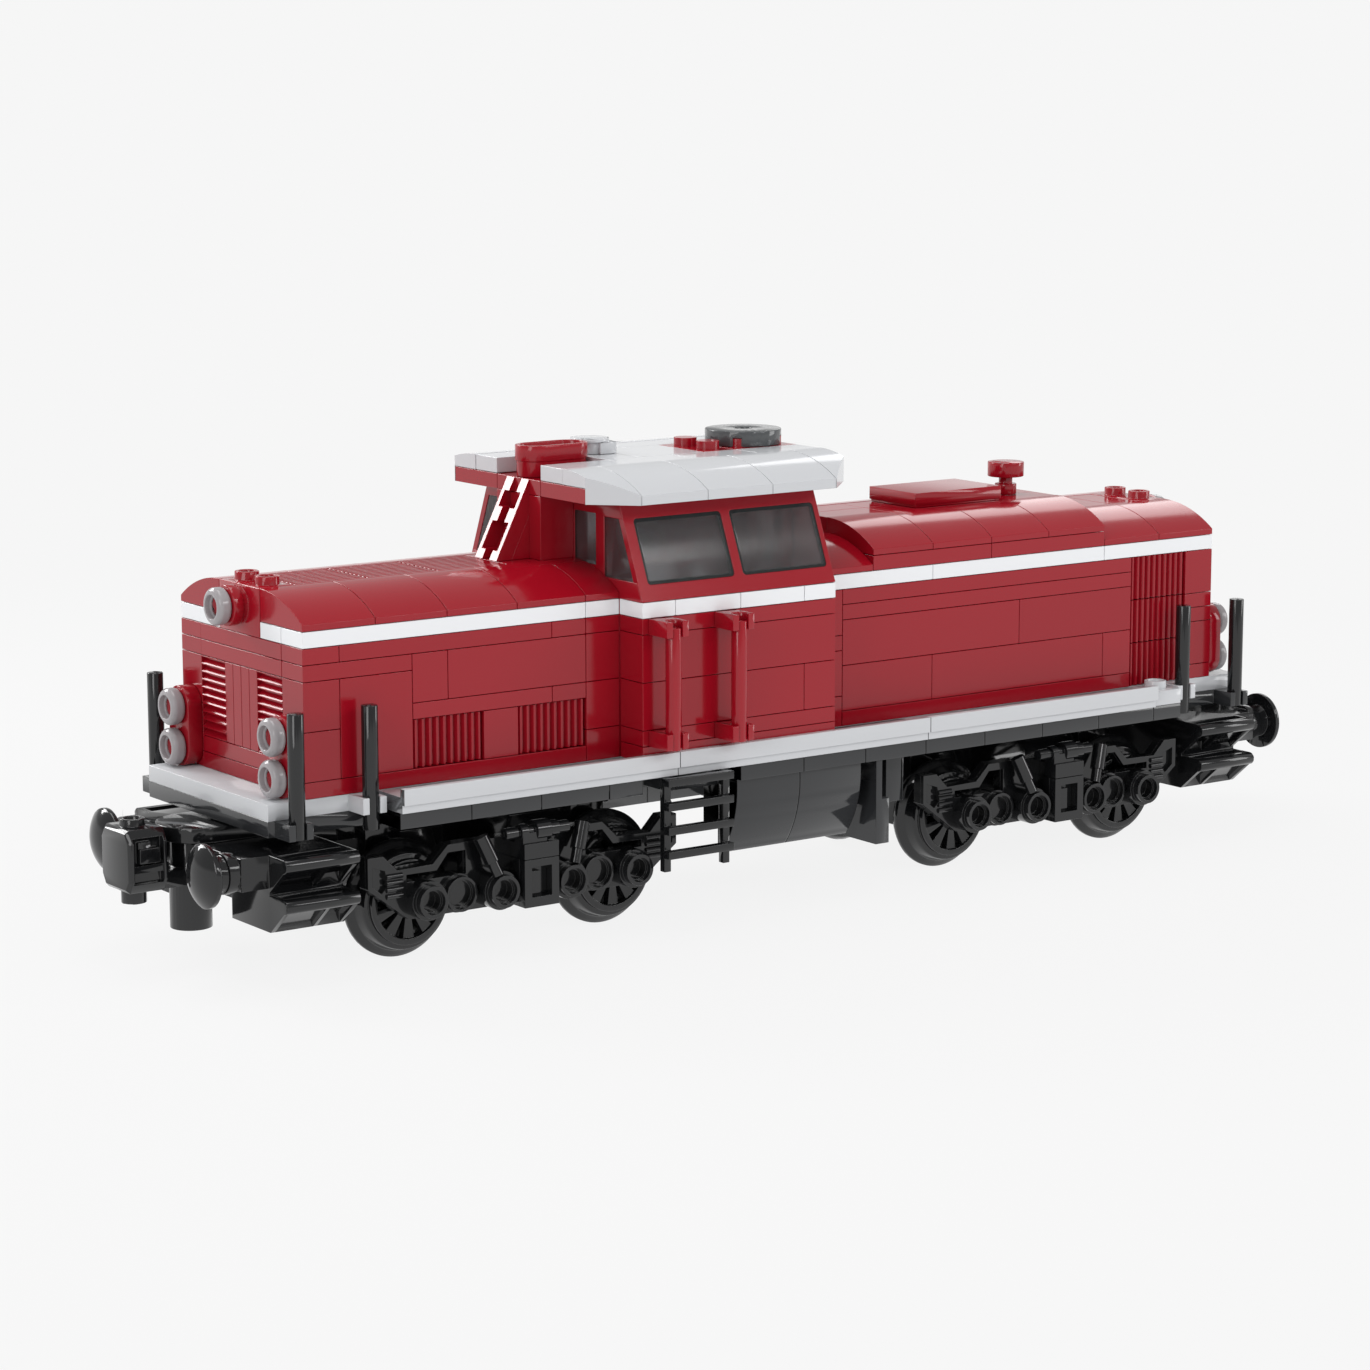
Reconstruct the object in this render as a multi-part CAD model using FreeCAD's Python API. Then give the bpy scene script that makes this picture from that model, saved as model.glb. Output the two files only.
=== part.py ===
import FreeCAD, Part

import math
import os

# A brick-built toy diesel locomotive with a cab between a short hood and a long hood.
# Millimetres. X runs along the locomotive, +X towards the long hood's end.
# -Y is the side nearer to the viewer of the photograph, +Z is up.
# Z = 0 is the rail top, under the wheel flanges. X = 0, Y = 0 is midway between the bogies.

# Brick grid
STUD = 8.0
PLATE = 3.2
BRICK = 3 * PLATE
STUD_R = 2.4
STUD_H = 1.7
STUD_HOLE_R = 1.6
SEAM = 0.1
TILE_GROOVE = 0.5
BAR_R = 1.6
OVERCUT = 0.5

# Fits
RUNNING_CLEARANCE = 0.05
SEAT_GAP = 0.3

# Layers above the rail
DECK_TOP = 11 * PLATE
UNDERFRAME_TOP = DECK_TOP - PLATE
UNDERFRAME_BOTTOM = UNDERFRAME_TOP - PLATE
STRIPE_BOTTOM = DECK_TOP + 3 * BRICK
STRIPE_TOP = STRIPE_BOTTOM + PLATE
HOOD_ROOF_TOP = STRIPE_TOP + 2 * PLATE
HIGH_ROOF_BOTTOM = STRIPE_TOP + PLATE
HIGH_ROOF_TOP = HOOD_ROOF_TOP + PLATE
CAB_ROOF_BOTTOM = STRIPE_TOP + 2 * BRICK
CAB_PLATE_TOP = CAB_ROOF_BOTTOM + PLATE
CAB_ROOF_TOP = CAB_PLATE_TOP + PLATE

# Plan: half widths and stations along the length
HOOD_HALF_W = 3 * STUD
CAB_HALF_W = 4 * STUD
DECK_HALF_L = 15.5 * STUD
HOOD_END = 14.5 * STUD
CAB_NEAR = -5.5 * STUD
CAB_FAR = 0.5 * STUD
CAB_MIDDLE = (CAB_NEAR + CAB_FAR) / 2
ROOF_NEAR = CAB_NEAR - STUD
ROOF_FAR = CAB_FAR + STUD
HIGH_ROOF_START = 2.5 * STUD
HIGH_ROOF_END = 10.5 * STUD
ROOF_FLAT_HALF_W = STUD
CAB_FLAT_HALF_W = 2 * STUD
HOOD_ROOF_LIP = 1.3
CAB_ROOF_LIP = 2.0
WALL_T = STUD

# Grooved bricks: where they sit along a hood wall and the shape of one groove
FLUTE_PITCH = STUD / 5
FLUTE_W = 0.9
FLUTE_DEPTH = 0.7
FLUTE_TAPER = 0.5
SHORT_FLUTES = (-11.5 * STUD, -8.5 * STUD)
LONG_FLUTES = 11.5 * STUD
LOUVRE_BOTTOM = DECK_TOP + 2 * PLATE
LOUVRE_HALF_GAP = 2 * PLATE
ROOF_SLOT_W = 0.8
ROOF_SLOT_DEPTH = 1.4
ROOF_SLOT_HALF_W = 0.9 * STUD

# Running boards and the plates beneath them
BOARD_NEAR = -12.5 * STUD
BOARD_FAR = 11.5 * STUD
BOARD_SEGMENT = 8 * STUD
BOARD_LIP_OUT = 1.6
BOARD_LIP_H = PLATE / 2
BOARD_FOOT_OUT = 0.8
SIDE_PLATE_END = 12.5 * STUD

# Wheels and axles
BOGIE_X = 8.5 * STUD
WHEELBASE = 6 * STUD
AXLE_Z = 11.7
FLANGE_R = 11.7
TREAD_R_IN = 10.2
TREAD_R_OUT = 9.5
RIM_R = 8.5
RIM_INNER_R = 7.2
FLANGE_Y = 16.6
FLANGE_W = 0.9
TREAD_Y_OUT = 20.6
RIM_Y_OUT = 21.8
WHEEL_Y_IN = 14.6
SPOKES = 10
SPOKE_W_HUB = 1.2
SPOKE_W_RIM = 2.6
SPOKE_INSET = 0.6
HUB_R = 2.9
WEB_DEPTH = 2.2
AXLE_R = 2.35

# Bogie frame and its side frames, as offsets from the bogie's centre and drops below the deck
BOGIE_TOP = UNDERFRAME_BOTTOM - PLATE
KINGPIN_R = 2.4
PAD_R = STUD
AXLE_BOX_DROP = 4.0
SIDEFRAME_Y_IN = 23.2
SIDEFRAME_Y_OUT = 26.4
SIDEFRAME_HALF_OUTLINE = ((0.0, 12.0), (18.0, 12.0), (21.5, 15.4), (29.5, 15.6), (32.5, 12.5), (36.0, 12.5),
                          (36.0, 18.7), (31.0, 22.5), (27.0, 25.6), (0.0, 25.6))
SIDEFRAME_OPENING = ((14.0, 13.6), (18.0, 13.6), (20.6, 16.8), (27.4, 16.8), (27.4, 18.2), (14.0, 18.2))
SIDEFRAME_POCKET = ((32.2, 15.4), (35.0, 14.4), (35.0, 18.2), (33.0, 19.8), (31.6, 18.4))
SIDEFRAME_POCKET_DEPTH = 1.0
SPRING_COILS = 4
SPRING_COIL_R = 0.55
SPRING_PITCH = 1.3
SPRING_START = 28.4
SPRING_L = 3.6
SPRING_TOP_DROP = 16.6
BOSS_DROP = 21.8
BOSS_R = 3.9
BOSS_BORE_R = 2.4
BOSS_BORE_DEPTH = 3.0
OUTER_BOSS_Y = 31.0
MIDDLE_BOSS_Y = 28.3
LEVER_BOSS_Y = 31.5
LEVER_FOOT = (8.9, 30.2, 18.6)
LEVER_HEAD = (11.9, 28.4, 10.8)
LEVER_NECK_R = 1.1
CENTRE_BOX_TOP = 12.9
CENTRE_BOX_Y = 4 * STUD
CENTRE_SLOT = ((-2.3, 2.3), (17.6, 23.6))
CENTRE_SLOT_DEPTH = 2.0
BRAKE_CYLINDER_DROP = 10.8
BRAKE_CYLINDER_STEPS = ((-10.0, -7.6, 1.2), (-7.6, -5.4, 1.6), (-4.9, -1.4, 2.1), (-5.4, -4.9, 1.2),
                        (-1.4, 1.6, 1.6), (1.6, 5.6, 1.2))

# End platform, buffers and coupler, carried by the bogie
STEP_NEAR = 15.5 * STUD
STEP_FAR = 13.5 * STUD
STEP_NOSE_Y = 30.7
STEP_NOSE_R = 1.35
STEP_H = 7.2
STEP_PITCH = 7.8
STEP_WALL = 1.0
STEP_TREAD_DEPTH = 1.0
STEP_RIB = 0.8
STEP_DEEP_L = 5.0
STEP_PANEL_DEPTHS = (0.8, 1.7)
BEAM_BLOCK_L = 6.0
BEAM_BLOCK_H = 2 * PLATE
BEAM_X_OUT = STEP_NEAR + BEAM_BLOCK_L
BEAM_HALF_W = 3 * STUD
BEAM_BLOCK_Y_IN = 9.0
BUFFER_Y = 2.5 * STUD
BUFFER_Z = DECK_TOP - 4 * PLATE
BUFFER_R = 6.2
BUFFER_SHANK_R = 3.5
BUFFER_COLLAR_R = 4.0
BUFFER_COLLAR_L = 2.2
BUFFER_L = 6.0
BUFFER_FACE_X = BEAM_X_OUT + BUFFER_L
BUFFER_DOME = 2.2
BUFFER_RIM = 1.0
COUPLER_PIVOT_X = 16 * STUD
PIVOT_PIN_R = 2.4
PIVOT_TUBE_R = 4.1
PIVOT_TUBE_DROP = 27.4
PIVOT_TUBE_BOTTOM = DECK_TOP - PIVOT_TUBE_DROP
PIVOT_TUBE_H = 9.3
PIVOT_RING_TOP = PIVOT_TUBE_BOTTOM + PIVOT_TUBE_H
TONGUE_NOSE_INSET = 1.8
TONGUE_NOSE_X = COUPLER_PIVOT_X - TONGUE_NOSE_INSET
COUPLER_REACH = 8.0
COUPLER_BACK = COUPLER_PIVOT_X + COUPLER_REACH
COUPLER_L = 7.9
COUPLER_FRONT = COUPLER_BACK + COUPLER_L
COUPLER_TAPER = 0.75
COUPLER_SIDE_X = COUPLER_FRONT - COUPLER_TAPER
COUPLER_STUB_FROM_BACK = 4.1
COUPLER_CENTRE_X = COUPLER_BACK + COUPLER_STUB_FROM_BACK
COUPLER_HALF_W = 6.1
COUPLER_TOP_HALF_W = 4.5
COUPLER_SHOULDER = 2.5
COUPLER_DROP = 5.9
COUPLER_H = 12.3
COUPLER_TOP = DECK_TOP - COUPLER_DROP
COUPLER_BOTTOM = COUPLER_TOP - COUPLER_H
COUPLER_STUB_R = 2.45
COUPLER_STUB_HOLE_R = 1.6
COUPLER_STUB_RISE = 1.4
COUPLER_STUB_FALL = 2.7
COUPLER_RECESS_MARGIN = 0.6
COUPLER_RECESS_DROP = 1.6
COUPLER_RECESS_H = 8.8
COUPLER_RECESS_DEPTH = 1.6
# Bars in the recess: shares of its length, of its height from the top, and of its depth
COUPLER_BARS = (((0.13, 0.81), (0.23, 0.55), 0.95), ((0.38, 0.81), (0.09, 0.23), 0.55),
                ((0.0, 1.0), (0.60, 0.76), 0.7))

# Fuel tank, lockers and ladder
TANK_NEAR = -2.5 * STUD
TANK_FAR = 1.5 * STUD
TANK_BOTTOM = UNDERFRAME_BOTTOM - 5 * PLATE
TANK_INSET = 1.4
TANK_TOP_HALF_W = CAB_HALF_W - TANK_INSET
TANK_BOTTOM_HALF_W = 25.6
TANK_BULGE = 0.8
TANK_BODY_H = 3.5 * PLATE
TANK_BODY_BOTTOM = UNDERFRAME_BOTTOM - TANK_BODY_H
TANK_BODY_W = 11.6
TANK_BODY_HALF_IN = TANK_TOP_HALF_W - TANK_BODY_W
TANK_SKIN_W = 1.6
LOCKER_X = 15.2
LOCKER_WALL_L = 1.6
LOCKER_BRICK_L = 3.4
LOCKER_INSET = 0.4
LOCKER_HALF_W = CAB_HALF_W - LOCKER_INSET
LOCKER_WALL_H = 8.2
LOCKER_BRICK_TOP = UNDERFRAME_BOTTOM - LOCKER_WALL_H
LOCKER_BOTTOM = LOCKER_BRICK_TOP - BRICK
INNER_LOCKER_SPAN = (23.8, 28.5)
INNER_LOCKER_BOTTOM = UNDERFRAME_BOTTOM - TANK_BODY_H
LADDER_SPAN = (-5 * STUD, -3 * STUD)
LADDER_Y_IN = 32.1
LADDER_Y_MID = 33.7
LADDER_Y_OUT = 35.3
LADDER_UPRIGHT_W = 1.6
LADDER_RUNG_H = 1.6
LADDER_RUNG_PITCH = 4.9
LADDER_RUNGS = 4
LADDER_DROP = 3.3
LADDER_H = 19.1
LADDER_TOP = DECK_TOP - LADDER_DROP
LADDER_BOTTOM = LADDER_TOP - LADDER_H

# Posts, rails, clips and lamps
POST_RISE = 17.6
POST_TOP = DECK_TOP + POST_RISE
POST_INNER_X = 13 * STUD
POST_OUTER_X = 15 * STUD
POST_Y = 3.5 * STUD
CLIP_HALF_W = 2.6
CLIP_REACH = 1.6
CLIP_MOUTH = 2.4
RAIL_X = (-5 * STUD, -3 * STUD)
RAIL_OUT = 4.9
RAIL_Y = CAB_HALF_W + RAIL_OUT
RAIL_FOOT = 3.0
RAIL_L = 24.4
RAIL_SPAN = (DECK_TOP + RAIL_FOOT, DECK_TOP + RAIL_FOOT + RAIL_L)
RAIL_CLIP_BASES = (DECK_TOP + PLATE, STRIPE_BOTTOM - PLATE)
RAIL_CLIP_HALF_W = 2.6
LAMP_PLATE_R = STUD / 2
LAMP_STUD_R = 1.9
LAMP_RING_OUT_R = 3.7
LAMP_RING_MOUTH_R = 2.35
LAMP_RING_W = 3.0
LAMP_RING_SEAT = 1.9
LAMP_RING_ROUND = 1.1
LAMP_SIDE_Y = 2.5 * STUD
LAMP_LOW_Z = DECK_TOP + STUD / 2
LAMP_TOP_RISE = 5.6
LAMP_TOP_Z = STRIPE_BOTTOM + LAMP_TOP_RISE

# Window band of the cab, above the stripe
BAND_H = CAB_ROOF_BOTTOM - STRIPE_TOP
CAB_TOP_HALF_W = 3 * STUD
WINDOW_LOW = 3.2
WINDOW_HIGH = 15.8
SIDE_WINDOWS = ((-41.6, -20.4), (-18.3, 2.8))
WINDOW_CORNER_R = 0.8
END_WINDOW = (8.1, 15.8)
END_WINDOW_SPAN = (5.7, 16.1)
CORNER_WINDOW = ((18.7, 15.8), (26.0, 15.8), (31.0, 3.7), (18.7, 3.7))
PANEL_T = 1.6
END_WALL_T = 4.0
GLASS_T = 1.2
GLASS_SETBACK = 0.2

# Roof fittings
FAN_CENTRE = (STUD / 2, 0.0)
FAN_HOLE_R = 1.9
FAN_HOLE_DEPTH = 1.2
INSET_SPAN = (-1.5 * STUD, 1.5 * STUD)
CAP_CENTRE = (-4 * STUD, STUD / 2)
CAP_BODY_R = 3.2
CAP_RIM_H = 0.8
STACK_SHRINK = 0.3
STACK_WALL = 0.9
HATCH_SPAN = (5.5 * STUD, 8.5 * STUD)
HORN_X = 9.5 * STUD
HORN_NECK_R = 1.5
HORN_COLLAR_H = 2.4
HORN_NECK_H = 1.6
HORN_COLLAR_TOP = HIGH_ROOF_TOP + HORN_COLLAR_H
HORN_HEAD_BOTTOM = HORN_COLLAR_TOP + HORN_NECK_H
DUCT_FOOT_X = ROOF_NEAR - STUD
DUCT_SLOT_HALF_W = 1.2
DUCT_NOTCH_HALF_W = 2.9
DUCT_NOTCHES = ((2.8, 7.3), (10.1, 12.6))
DUCT_SLOT_SPAN = (1.4, 15.0)
DUCT_SLOT_DEPTH = 1.6


def vec(x, y, z):
    return FreeCAD.Vector(x, y, z)


def box(x_span, y_span, z_span):
    """Block between two X, two Y and two Z values."""
    (x0, x1), (y0, y1), (z0, z1) = x_span, y_span, z_span
    return Part.makeBox(x1 - x0, y1 - y0, z1 - z0, vec(x0, y0, z0))


def fuse(shapes):
    """One solid from pieces that meet, with the shared faces merged."""
    first, *rest = shapes
    return first.multiFuse(rest).removeSplitter() if rest else first


def cut(shape, tools):
    return shape.cut(Part.makeCompound(list(tools)))


def group(shapes):
    return Part.makeCompound(list(shapes))


def mirror_y(shape):
    """The same piece on the other side of the locomotive."""
    return shape.mirror(vec(0, 0, 0), vec(0, 1, 0))


def mirror_x(shape, about=0.0):
    """The same piece turned end for end about the plane X = about."""
    return shape.mirror(vec(about, 0, 0), vec(1, 0, 0))


def with_mirror(shapes):
    """The given pieces and their copies on the other side, as a list."""
    return [piece for shape in shapes for piece in (shape, mirror_y(shape))]


def both_sides(shapes):
    return group(with_mirror(shapes))


def both_ends(shapes):
    """The given pieces and their copies at the other end, as a list."""
    return [piece for shape in shapes for piece in (shape, mirror_x(shape))]


def cylinder(radius, start, direction, length):
    return Part.makeCylinder(radius, length, vec(*start), vec(*direction))


def upright(radius, x, y, z_span):
    """Standing cylinder at one place in plan."""
    return cylinder(radius, (x, y, z_span[0]), (0, 0, 1), z_span[1] - z_span[0])


def stud(x, y, z):
    return upright(STUD_R, x, y, (z, z + STUD_H))


def open_stud(x, y, z):
    """Stud with a round hollow in its top."""
    return stud(x, y, z).cut(upright(STUD_HOLE_R, x, y, (z + STUD_H / 2, z + STUD_H + OVERCUT)))


def polygon(points):
    """Flat face with straight edges through the given points."""
    outline = [vec(*point) for point in points]
    return Part.Face(Part.makePolygon(outline + outline[:1]))


def line(start, end):
    return Part.LineSegment(vec(*start), vec(*end)).toShape()


def arc(start, middle, end):
    return Part.Arc(vec(*start), vec(*middle), vec(*end)).toShape()


def groove(centre, along, across, inward, length, width, depth):
    """Tapered slot to cut into a face, starting at a point on it."""
    start, run, side, down = (vec(*part) for part in (centre, along, across, inward))
    mouth = start - down * OVERCUT
    floor = start + down * depth
    half = side * (width / 2)
    inner = half * FLUTE_TAPER
    outline = [mouth - half, mouth + half, floor + inner, floor - inner]
    return Part.Face(Part.makePolygon(outline + outline[:1])).extrude(run * length)


def flutes(first, along, across, inward, length, count):
    """Row of grooves one pitch apart, as on a grooved brick."""
    start, side = vec(*first), vec(*across)
    centres = [start + side * (FLUTE_PITCH * (index + 0.5)) for index in range(count)]
    return [groove(tuple(centre), along, across, inward, length, FLUTE_W, FLUTE_DEPTH)
            for centre in centres]


def rounded_block(x_span, y, z_span, half_w):
    """Plate standing on end against a hood, with both ends rounded to half circles."""
    z0, z1 = z_span
    low, high = z0 + half_w, z1 - half_w
    pieces = [cylinder(half_w, (x_span[0], y, z), (1, 0, 0), x_span[1] - x_span[0]) for z in (low, high)]
    pieces.append(box(x_span, (y - half_w, y + half_w), (low, high)))
    return fuse(pieces)


def round_ended(x_span, half_w, z_span):
    """Flat-lying block with half-round ends, centred on Y = 0."""
    x0, x1 = x_span[0] + half_w, x_span[1] - half_w
    pieces = [upright(half_w, x, 0, z_span) for x in (x0, x1)]
    pieces.append(box((x0, x1), (-half_w, half_w), z_span))
    return fuse(pieces)


def roof_run(x_span, half_outer, half_flat, bottom, lip, top):
    """Roof with a lip at each side, an arc up from it and a flat middle.

    Each arc is level where it meets the flat, as on a curved slope brick.
    """
    x = x_span[0]
    run = half_outer - half_flat
    rise = top - bottom - lip
    radius = (run * run + rise * rise) / (2 * rise)
    turn = math.asin(run / radius) / 2
    mid_y = half_flat + radius * math.sin(turn)
    mid_z = top - radius * (1 - math.cos(turn))
    lip_z = bottom + lip
    profile = Part.Face(Part.Wire([
        line((x, -half_outer, bottom), (x, half_outer, bottom)),
        line((x, half_outer, bottom), (x, half_outer, lip_z)),
        arc((x, half_outer, lip_z), (x, mid_y, mid_z), (x, half_flat, top)),
        line((x, half_flat, top), (x, -half_flat, top)),
        arc((x, -half_flat, top), (x, -mid_y, mid_z), (x, -half_outer, lip_z)),
        line((x, -half_outer, lip_z), (x, -half_outer, bottom)),
    ]))
    return profile.extrude(vec(x_span[1] - x, 0, 0))


def clip(x, wall_y, bar_y, z_span, half_w):
    """C-shaped clip that reaches out from a wall on the -Y side and holds an upright bar."""
    body = box((x - half_w, x + half_w), (bar_y - CLIP_REACH, wall_y), z_span)
    bore = upright(BAR_R + RUNNING_CLEARANCE, x, bar_y, (z_span[0] - OVERCUT, z_span[1] + OVERCUT))
    mouth = box((x - CLIP_MOUTH / 2, x + CLIP_MOUTH / 2), (bar_y - CLIP_REACH - OVERCUT, bar_y),
                (z_span[0] - OVERCUT, z_span[1] + OVERCUT))
    return cut(body, [bore, mouth])


def deck():
    """White plate layer under hoods and cab, with the clips of the inner posts."""
    slab = box((-DECK_HALF_L, DECK_HALF_L), (-HOOD_HALF_W, HOOD_HALF_W), (UNDERFRAME_TOP, DECK_TOP))
    holder = clip(POST_INNER_X, -HOOD_HALF_W, -POST_Y, (UNDERFRAME_TOP, DECK_TOP), CLIP_HALF_W)
    return fuse([slab] + with_mirror(both_ends([holder])))


def running_boards():
    """Three rail plates a side with a raised lip, and the plate with an open stud after them."""
    inner = HOOD_HALF_W + SEAM
    outer = CAB_HALF_W
    level = (UNDERFRAME_TOP, DECK_TOP)
    boards = []
    for index in range(round((BOARD_FAR - BOARD_NEAR) / BOARD_SEGMENT)):
        start = BOARD_NEAR + index * BOARD_SEGMENT
        span = (start + SEAM / 2, start + BOARD_SEGMENT - SEAM / 2)
        plate = box(span, (-outer, -inner), level)
        foot = box(span, (-outer - BOARD_FOOT_OUT, -outer), level)
        lip = box(span, (-outer - BOARD_LIP_OUT, -outer), (DECK_TOP - BOARD_LIP_H, DECK_TOP + BOARD_LIP_H))
        boards.append(fuse([plate, foot, lip]))
    end_plate = box((BOARD_FAR + SEAM / 2, BOARD_FAR + STUD), (-outer, -inner), level)
    boards.append(fuse([end_plate, open_stud(BOARD_FAR + STUD / 2, -POST_Y, DECK_TOP)]))
    return both_sides(boards)


def underframe():
    """Dark plate layer, its side plates, clips, and the pads and kingpins that the bogies turn on."""
    level = (UNDERFRAME_BOTTOM, UNDERFRAME_TOP)
    core = box((-DECK_HALF_L, DECK_HALF_L), (-HOOD_HALF_W, HOOD_HALF_W), level)
    side = (-CAB_HALF_W, -HOOD_HALF_W)
    ladder_near, ladder_far = LADDER_SPAN
    sides = [box((-SIDE_PLATE_END, CAB_NEAR), side, level),
             box((TANK_NEAR, SIDE_PLATE_END), side, level),
             box((ladder_near + LADDER_UPRIGHT_W, ladder_far - LADDER_UPRIGHT_W), side, level)]
    holder = clip(POST_OUTER_X, -HOOD_HALF_W, -POST_Y, level, CLIP_HALF_W)
    pivots = []
    for x in (-BOGIE_X, BOGIE_X):
        pivots.append(upright(PAD_R, x, 0, (BOGIE_TOP + SEAT_GAP, UNDERFRAME_BOTTOM)))
        pivots.append(upright(KINGPIN_R, x, 0, (BOGIE_TOP - PLATE, BOGIE_TOP + SEAT_GAP)))
    return fuse([core] + with_mirror(sides + both_ends([holder])) + pivots)


def tank_shell():
    """Curved side of the fuel tank on the -Y side: a body by the frame and a skin below it."""
    x = TANK_NEAR
    top = UNDERFRAME_BOTTOM
    mid = (-(TANK_TOP_HALF_W - TANK_BULGE), (top + TANK_BOTTOM) / 2)
    skin_in = TANK_BOTTOM_HALF_W - TANK_SKIN_W
    inner = [(x, -TANK_BOTTOM_HALF_W, TANK_BOTTOM), (x, -skin_in, TANK_BOTTOM), (x, -skin_in, TANK_BODY_BOTTOM),
             (x, -TANK_BODY_HALF_IN, TANK_BODY_BOTTOM), (x, -TANK_BODY_HALF_IN, top), (x, -TANK_TOP_HALF_W, top)]
    edges = [line(start, end) for start, end in zip(inner, inner[1:])]
    outer = arc((x, -TANK_TOP_HALF_W, top), (x, *mid), (x, -TANK_BOTTOM_HALF_W, TANK_BOTTOM))
    return Part.Face(Part.Wire([outer] + edges)).extrude(vec(TANK_FAR - TANK_NEAR, 0, 0))


def fuel_tank():
    """Both sides of the fuel tank, and the two lockers behind it across the frame."""
    top = UNDERFRAME_BOTTOM
    wide = (-LOCKER_HALF_W, LOCKER_HALF_W)
    wall = box((LOCKER_X, LOCKER_X + LOCKER_WALL_L), wide, (LOCKER_BRICK_TOP, top))
    brick = box((LOCKER_X, LOCKER_X + LOCKER_BRICK_L), wide, (LOCKER_BOTTOM, LOCKER_BRICK_TOP))
    inner = box(INNER_LOCKER_SPAN, (-HOOD_HALF_W, HOOD_HALF_W), (INNER_LOCKER_BOTTOM, top))
    return group(with_mirror([tank_shell()]) + [fuse([wall, brick]), inner])


def ladders():
    """Uprights against the frame and rungs that stand out from them."""
    near, far = LADDER_SPAN
    upright_y = (-LADDER_Y_MID, -LADDER_Y_IN)
    pieces = [box((near, near + LADDER_UPRIGHT_W), upright_y, (LADDER_BOTTOM, LADDER_TOP)),
              box((far - LADDER_UPRIGHT_W, far), upright_y, (LADDER_BOTTOM, LADDER_TOP))]
    for index in range(LADDER_RUNGS):
        top = LADDER_TOP - index * LADDER_RUNG_PITCH
        pieces.append(box((near, far), (-LADDER_Y_OUT, -LADDER_Y_MID), (top - LADDER_RUNG_H, top)))
    return both_sides([fuse(pieces)])


def short_hood_sides():
    """Long walls of the short hood, with two grooved bricks in the lowest brick course."""
    wall = box((-HOOD_END, CAB_NEAR - SEAM), (-HOOD_HALF_W, -HOOD_HALF_W + WALL_T), (DECK_TOP, STRIPE_BOTTOM))
    tools = []
    for x in SHORT_FLUTES:
        tools += flutes((x, -HOOD_HALF_W, DECK_TOP + PLATE), (0, 0, 1), (1, 0, 0), (0, 1, 0), BRICK, 10)
    return both_sides([cut(wall, tools)])


def long_hood_sides():
    """Long walls of the long hood, with a grooved panel three bricks high near the end."""
    wall = box((CAB_FAR + SEAM, HOOD_END), (-HOOD_HALF_W, -HOOD_HALF_W + WALL_T), (DECK_TOP, STRIPE_BOTTOM))
    tools = flutes((LONG_FLUTES, -HOOD_HALF_W, DECK_TOP), (0, 0, 1), (1, 0, 0), (0, 1, 0), 3 * BRICK, 10)
    return both_sides([cut(wall, tools)])


def hood_nose():
    """End wall at +X with two louvred panels and three upright joints between them."""
    half = HOOD_HALF_W - WALL_T - SEAM
    wall = box((HOOD_END - WALL_T, HOOD_END), (-half, half), (DECK_TOP, STRIPE_BOTTOM))
    tools = []
    for y in (-half, LOUVRE_HALF_GAP):
        tools += flutes((HOOD_END, y, LOUVRE_BOTTOM), (0, 1, 0), (0, 0, 1), (-1, 0, 0),
                        half - LOUVRE_HALF_GAP, 10)
    for y in (-PLATE, 0.0, PLATE):
        tools.append(groove((HOOD_END, y, LOUVRE_BOTTOM), (0, 0, 1), (0, 1, 0), (-1, 0, 0), 2 * STUD,
                            4 * SEAM, 3 * SEAM))
    return cut(wall, tools)


def stripe():
    """White band right round the hoods and along the cab."""
    level = (STRIPE_BOTTOM, STRIPE_TOP)
    side = (-HOOD_HALF_W, -HOOD_HALF_W + WALL_T)
    near = box((-HOOD_END, CAB_NEAR - SEAM), side, level)
    cab = box((CAB_NEAR, CAB_FAR), (-CAB_HALF_W, -CAB_HALF_W + WALL_T), level)
    far = box((CAB_FAR + SEAM, HOOD_END), side, level)
    end = box((HOOD_END - WALL_T, HOOD_END), (-HOOD_HALF_W + WALL_T + SEAM, -STUD), level)
    return both_sides([near, cab, far, end, mirror_x(end)])


def lamp_places():
    """Centre of each lamp on the +X end, as Y and Z."""
    low = [(y, z) for y in (-LAMP_SIDE_Y, LAMP_SIDE_Y) for z in (LAMP_LOW_Z, LAMP_LOW_Z + STUD)]
    return low + [(0.0, LAMP_TOP_Z)]


def lamp_holders():
    """Red pieces behind the lamps of the +X end: two standing plates and the brick with open studs."""
    front = HOOD_END + PLATE
    holders = []
    for y in (-LAMP_SIDE_Y, LAMP_SIDE_Y):
        plate = rounded_block((HOOD_END, front), y, (DECK_TOP, DECK_TOP + 2 * STUD), STUD / 2)
        studs = [cylinder(LAMP_STUD_R, (front, y, z), (1, 0, 0), STUD_H)
                 for z in (LAMP_LOW_Z, LAMP_LOW_Z + STUD)]
        holders.append(fuse([plate] + studs))
    brick = box((HOOD_END - WALL_T, HOOD_END), (-STUD + SEAM, STUD - SEAM), (STRIPE_BOTTOM, HOOD_ROOF_TOP))
    collar = cylinder(LAMP_PLATE_R - STACK_SHRINK, (HOOD_END, 0, LAMP_TOP_Z), (1, 0, 0), PLATE / 3)
    plate = cylinder(LAMP_PLATE_R, (HOOD_END + PLATE / 3, 0, LAMP_TOP_Z), (1, 0, 0), 2 * PLATE / 3)
    boss = cylinder(LAMP_STUD_R, (front, 0, LAMP_TOP_Z), (1, 0, 0), STUD_H)
    studs = [open_stud(HOOD_END - STUD / 2, y, HOOD_ROOF_TOP) for y in (-STUD / 2, STUD / 2)]
    holders.append(fuse([brick, collar, plate, boss] + studs))
    return holders


def lamp_housings():
    return group(both_ends(lamp_holders()))


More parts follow.
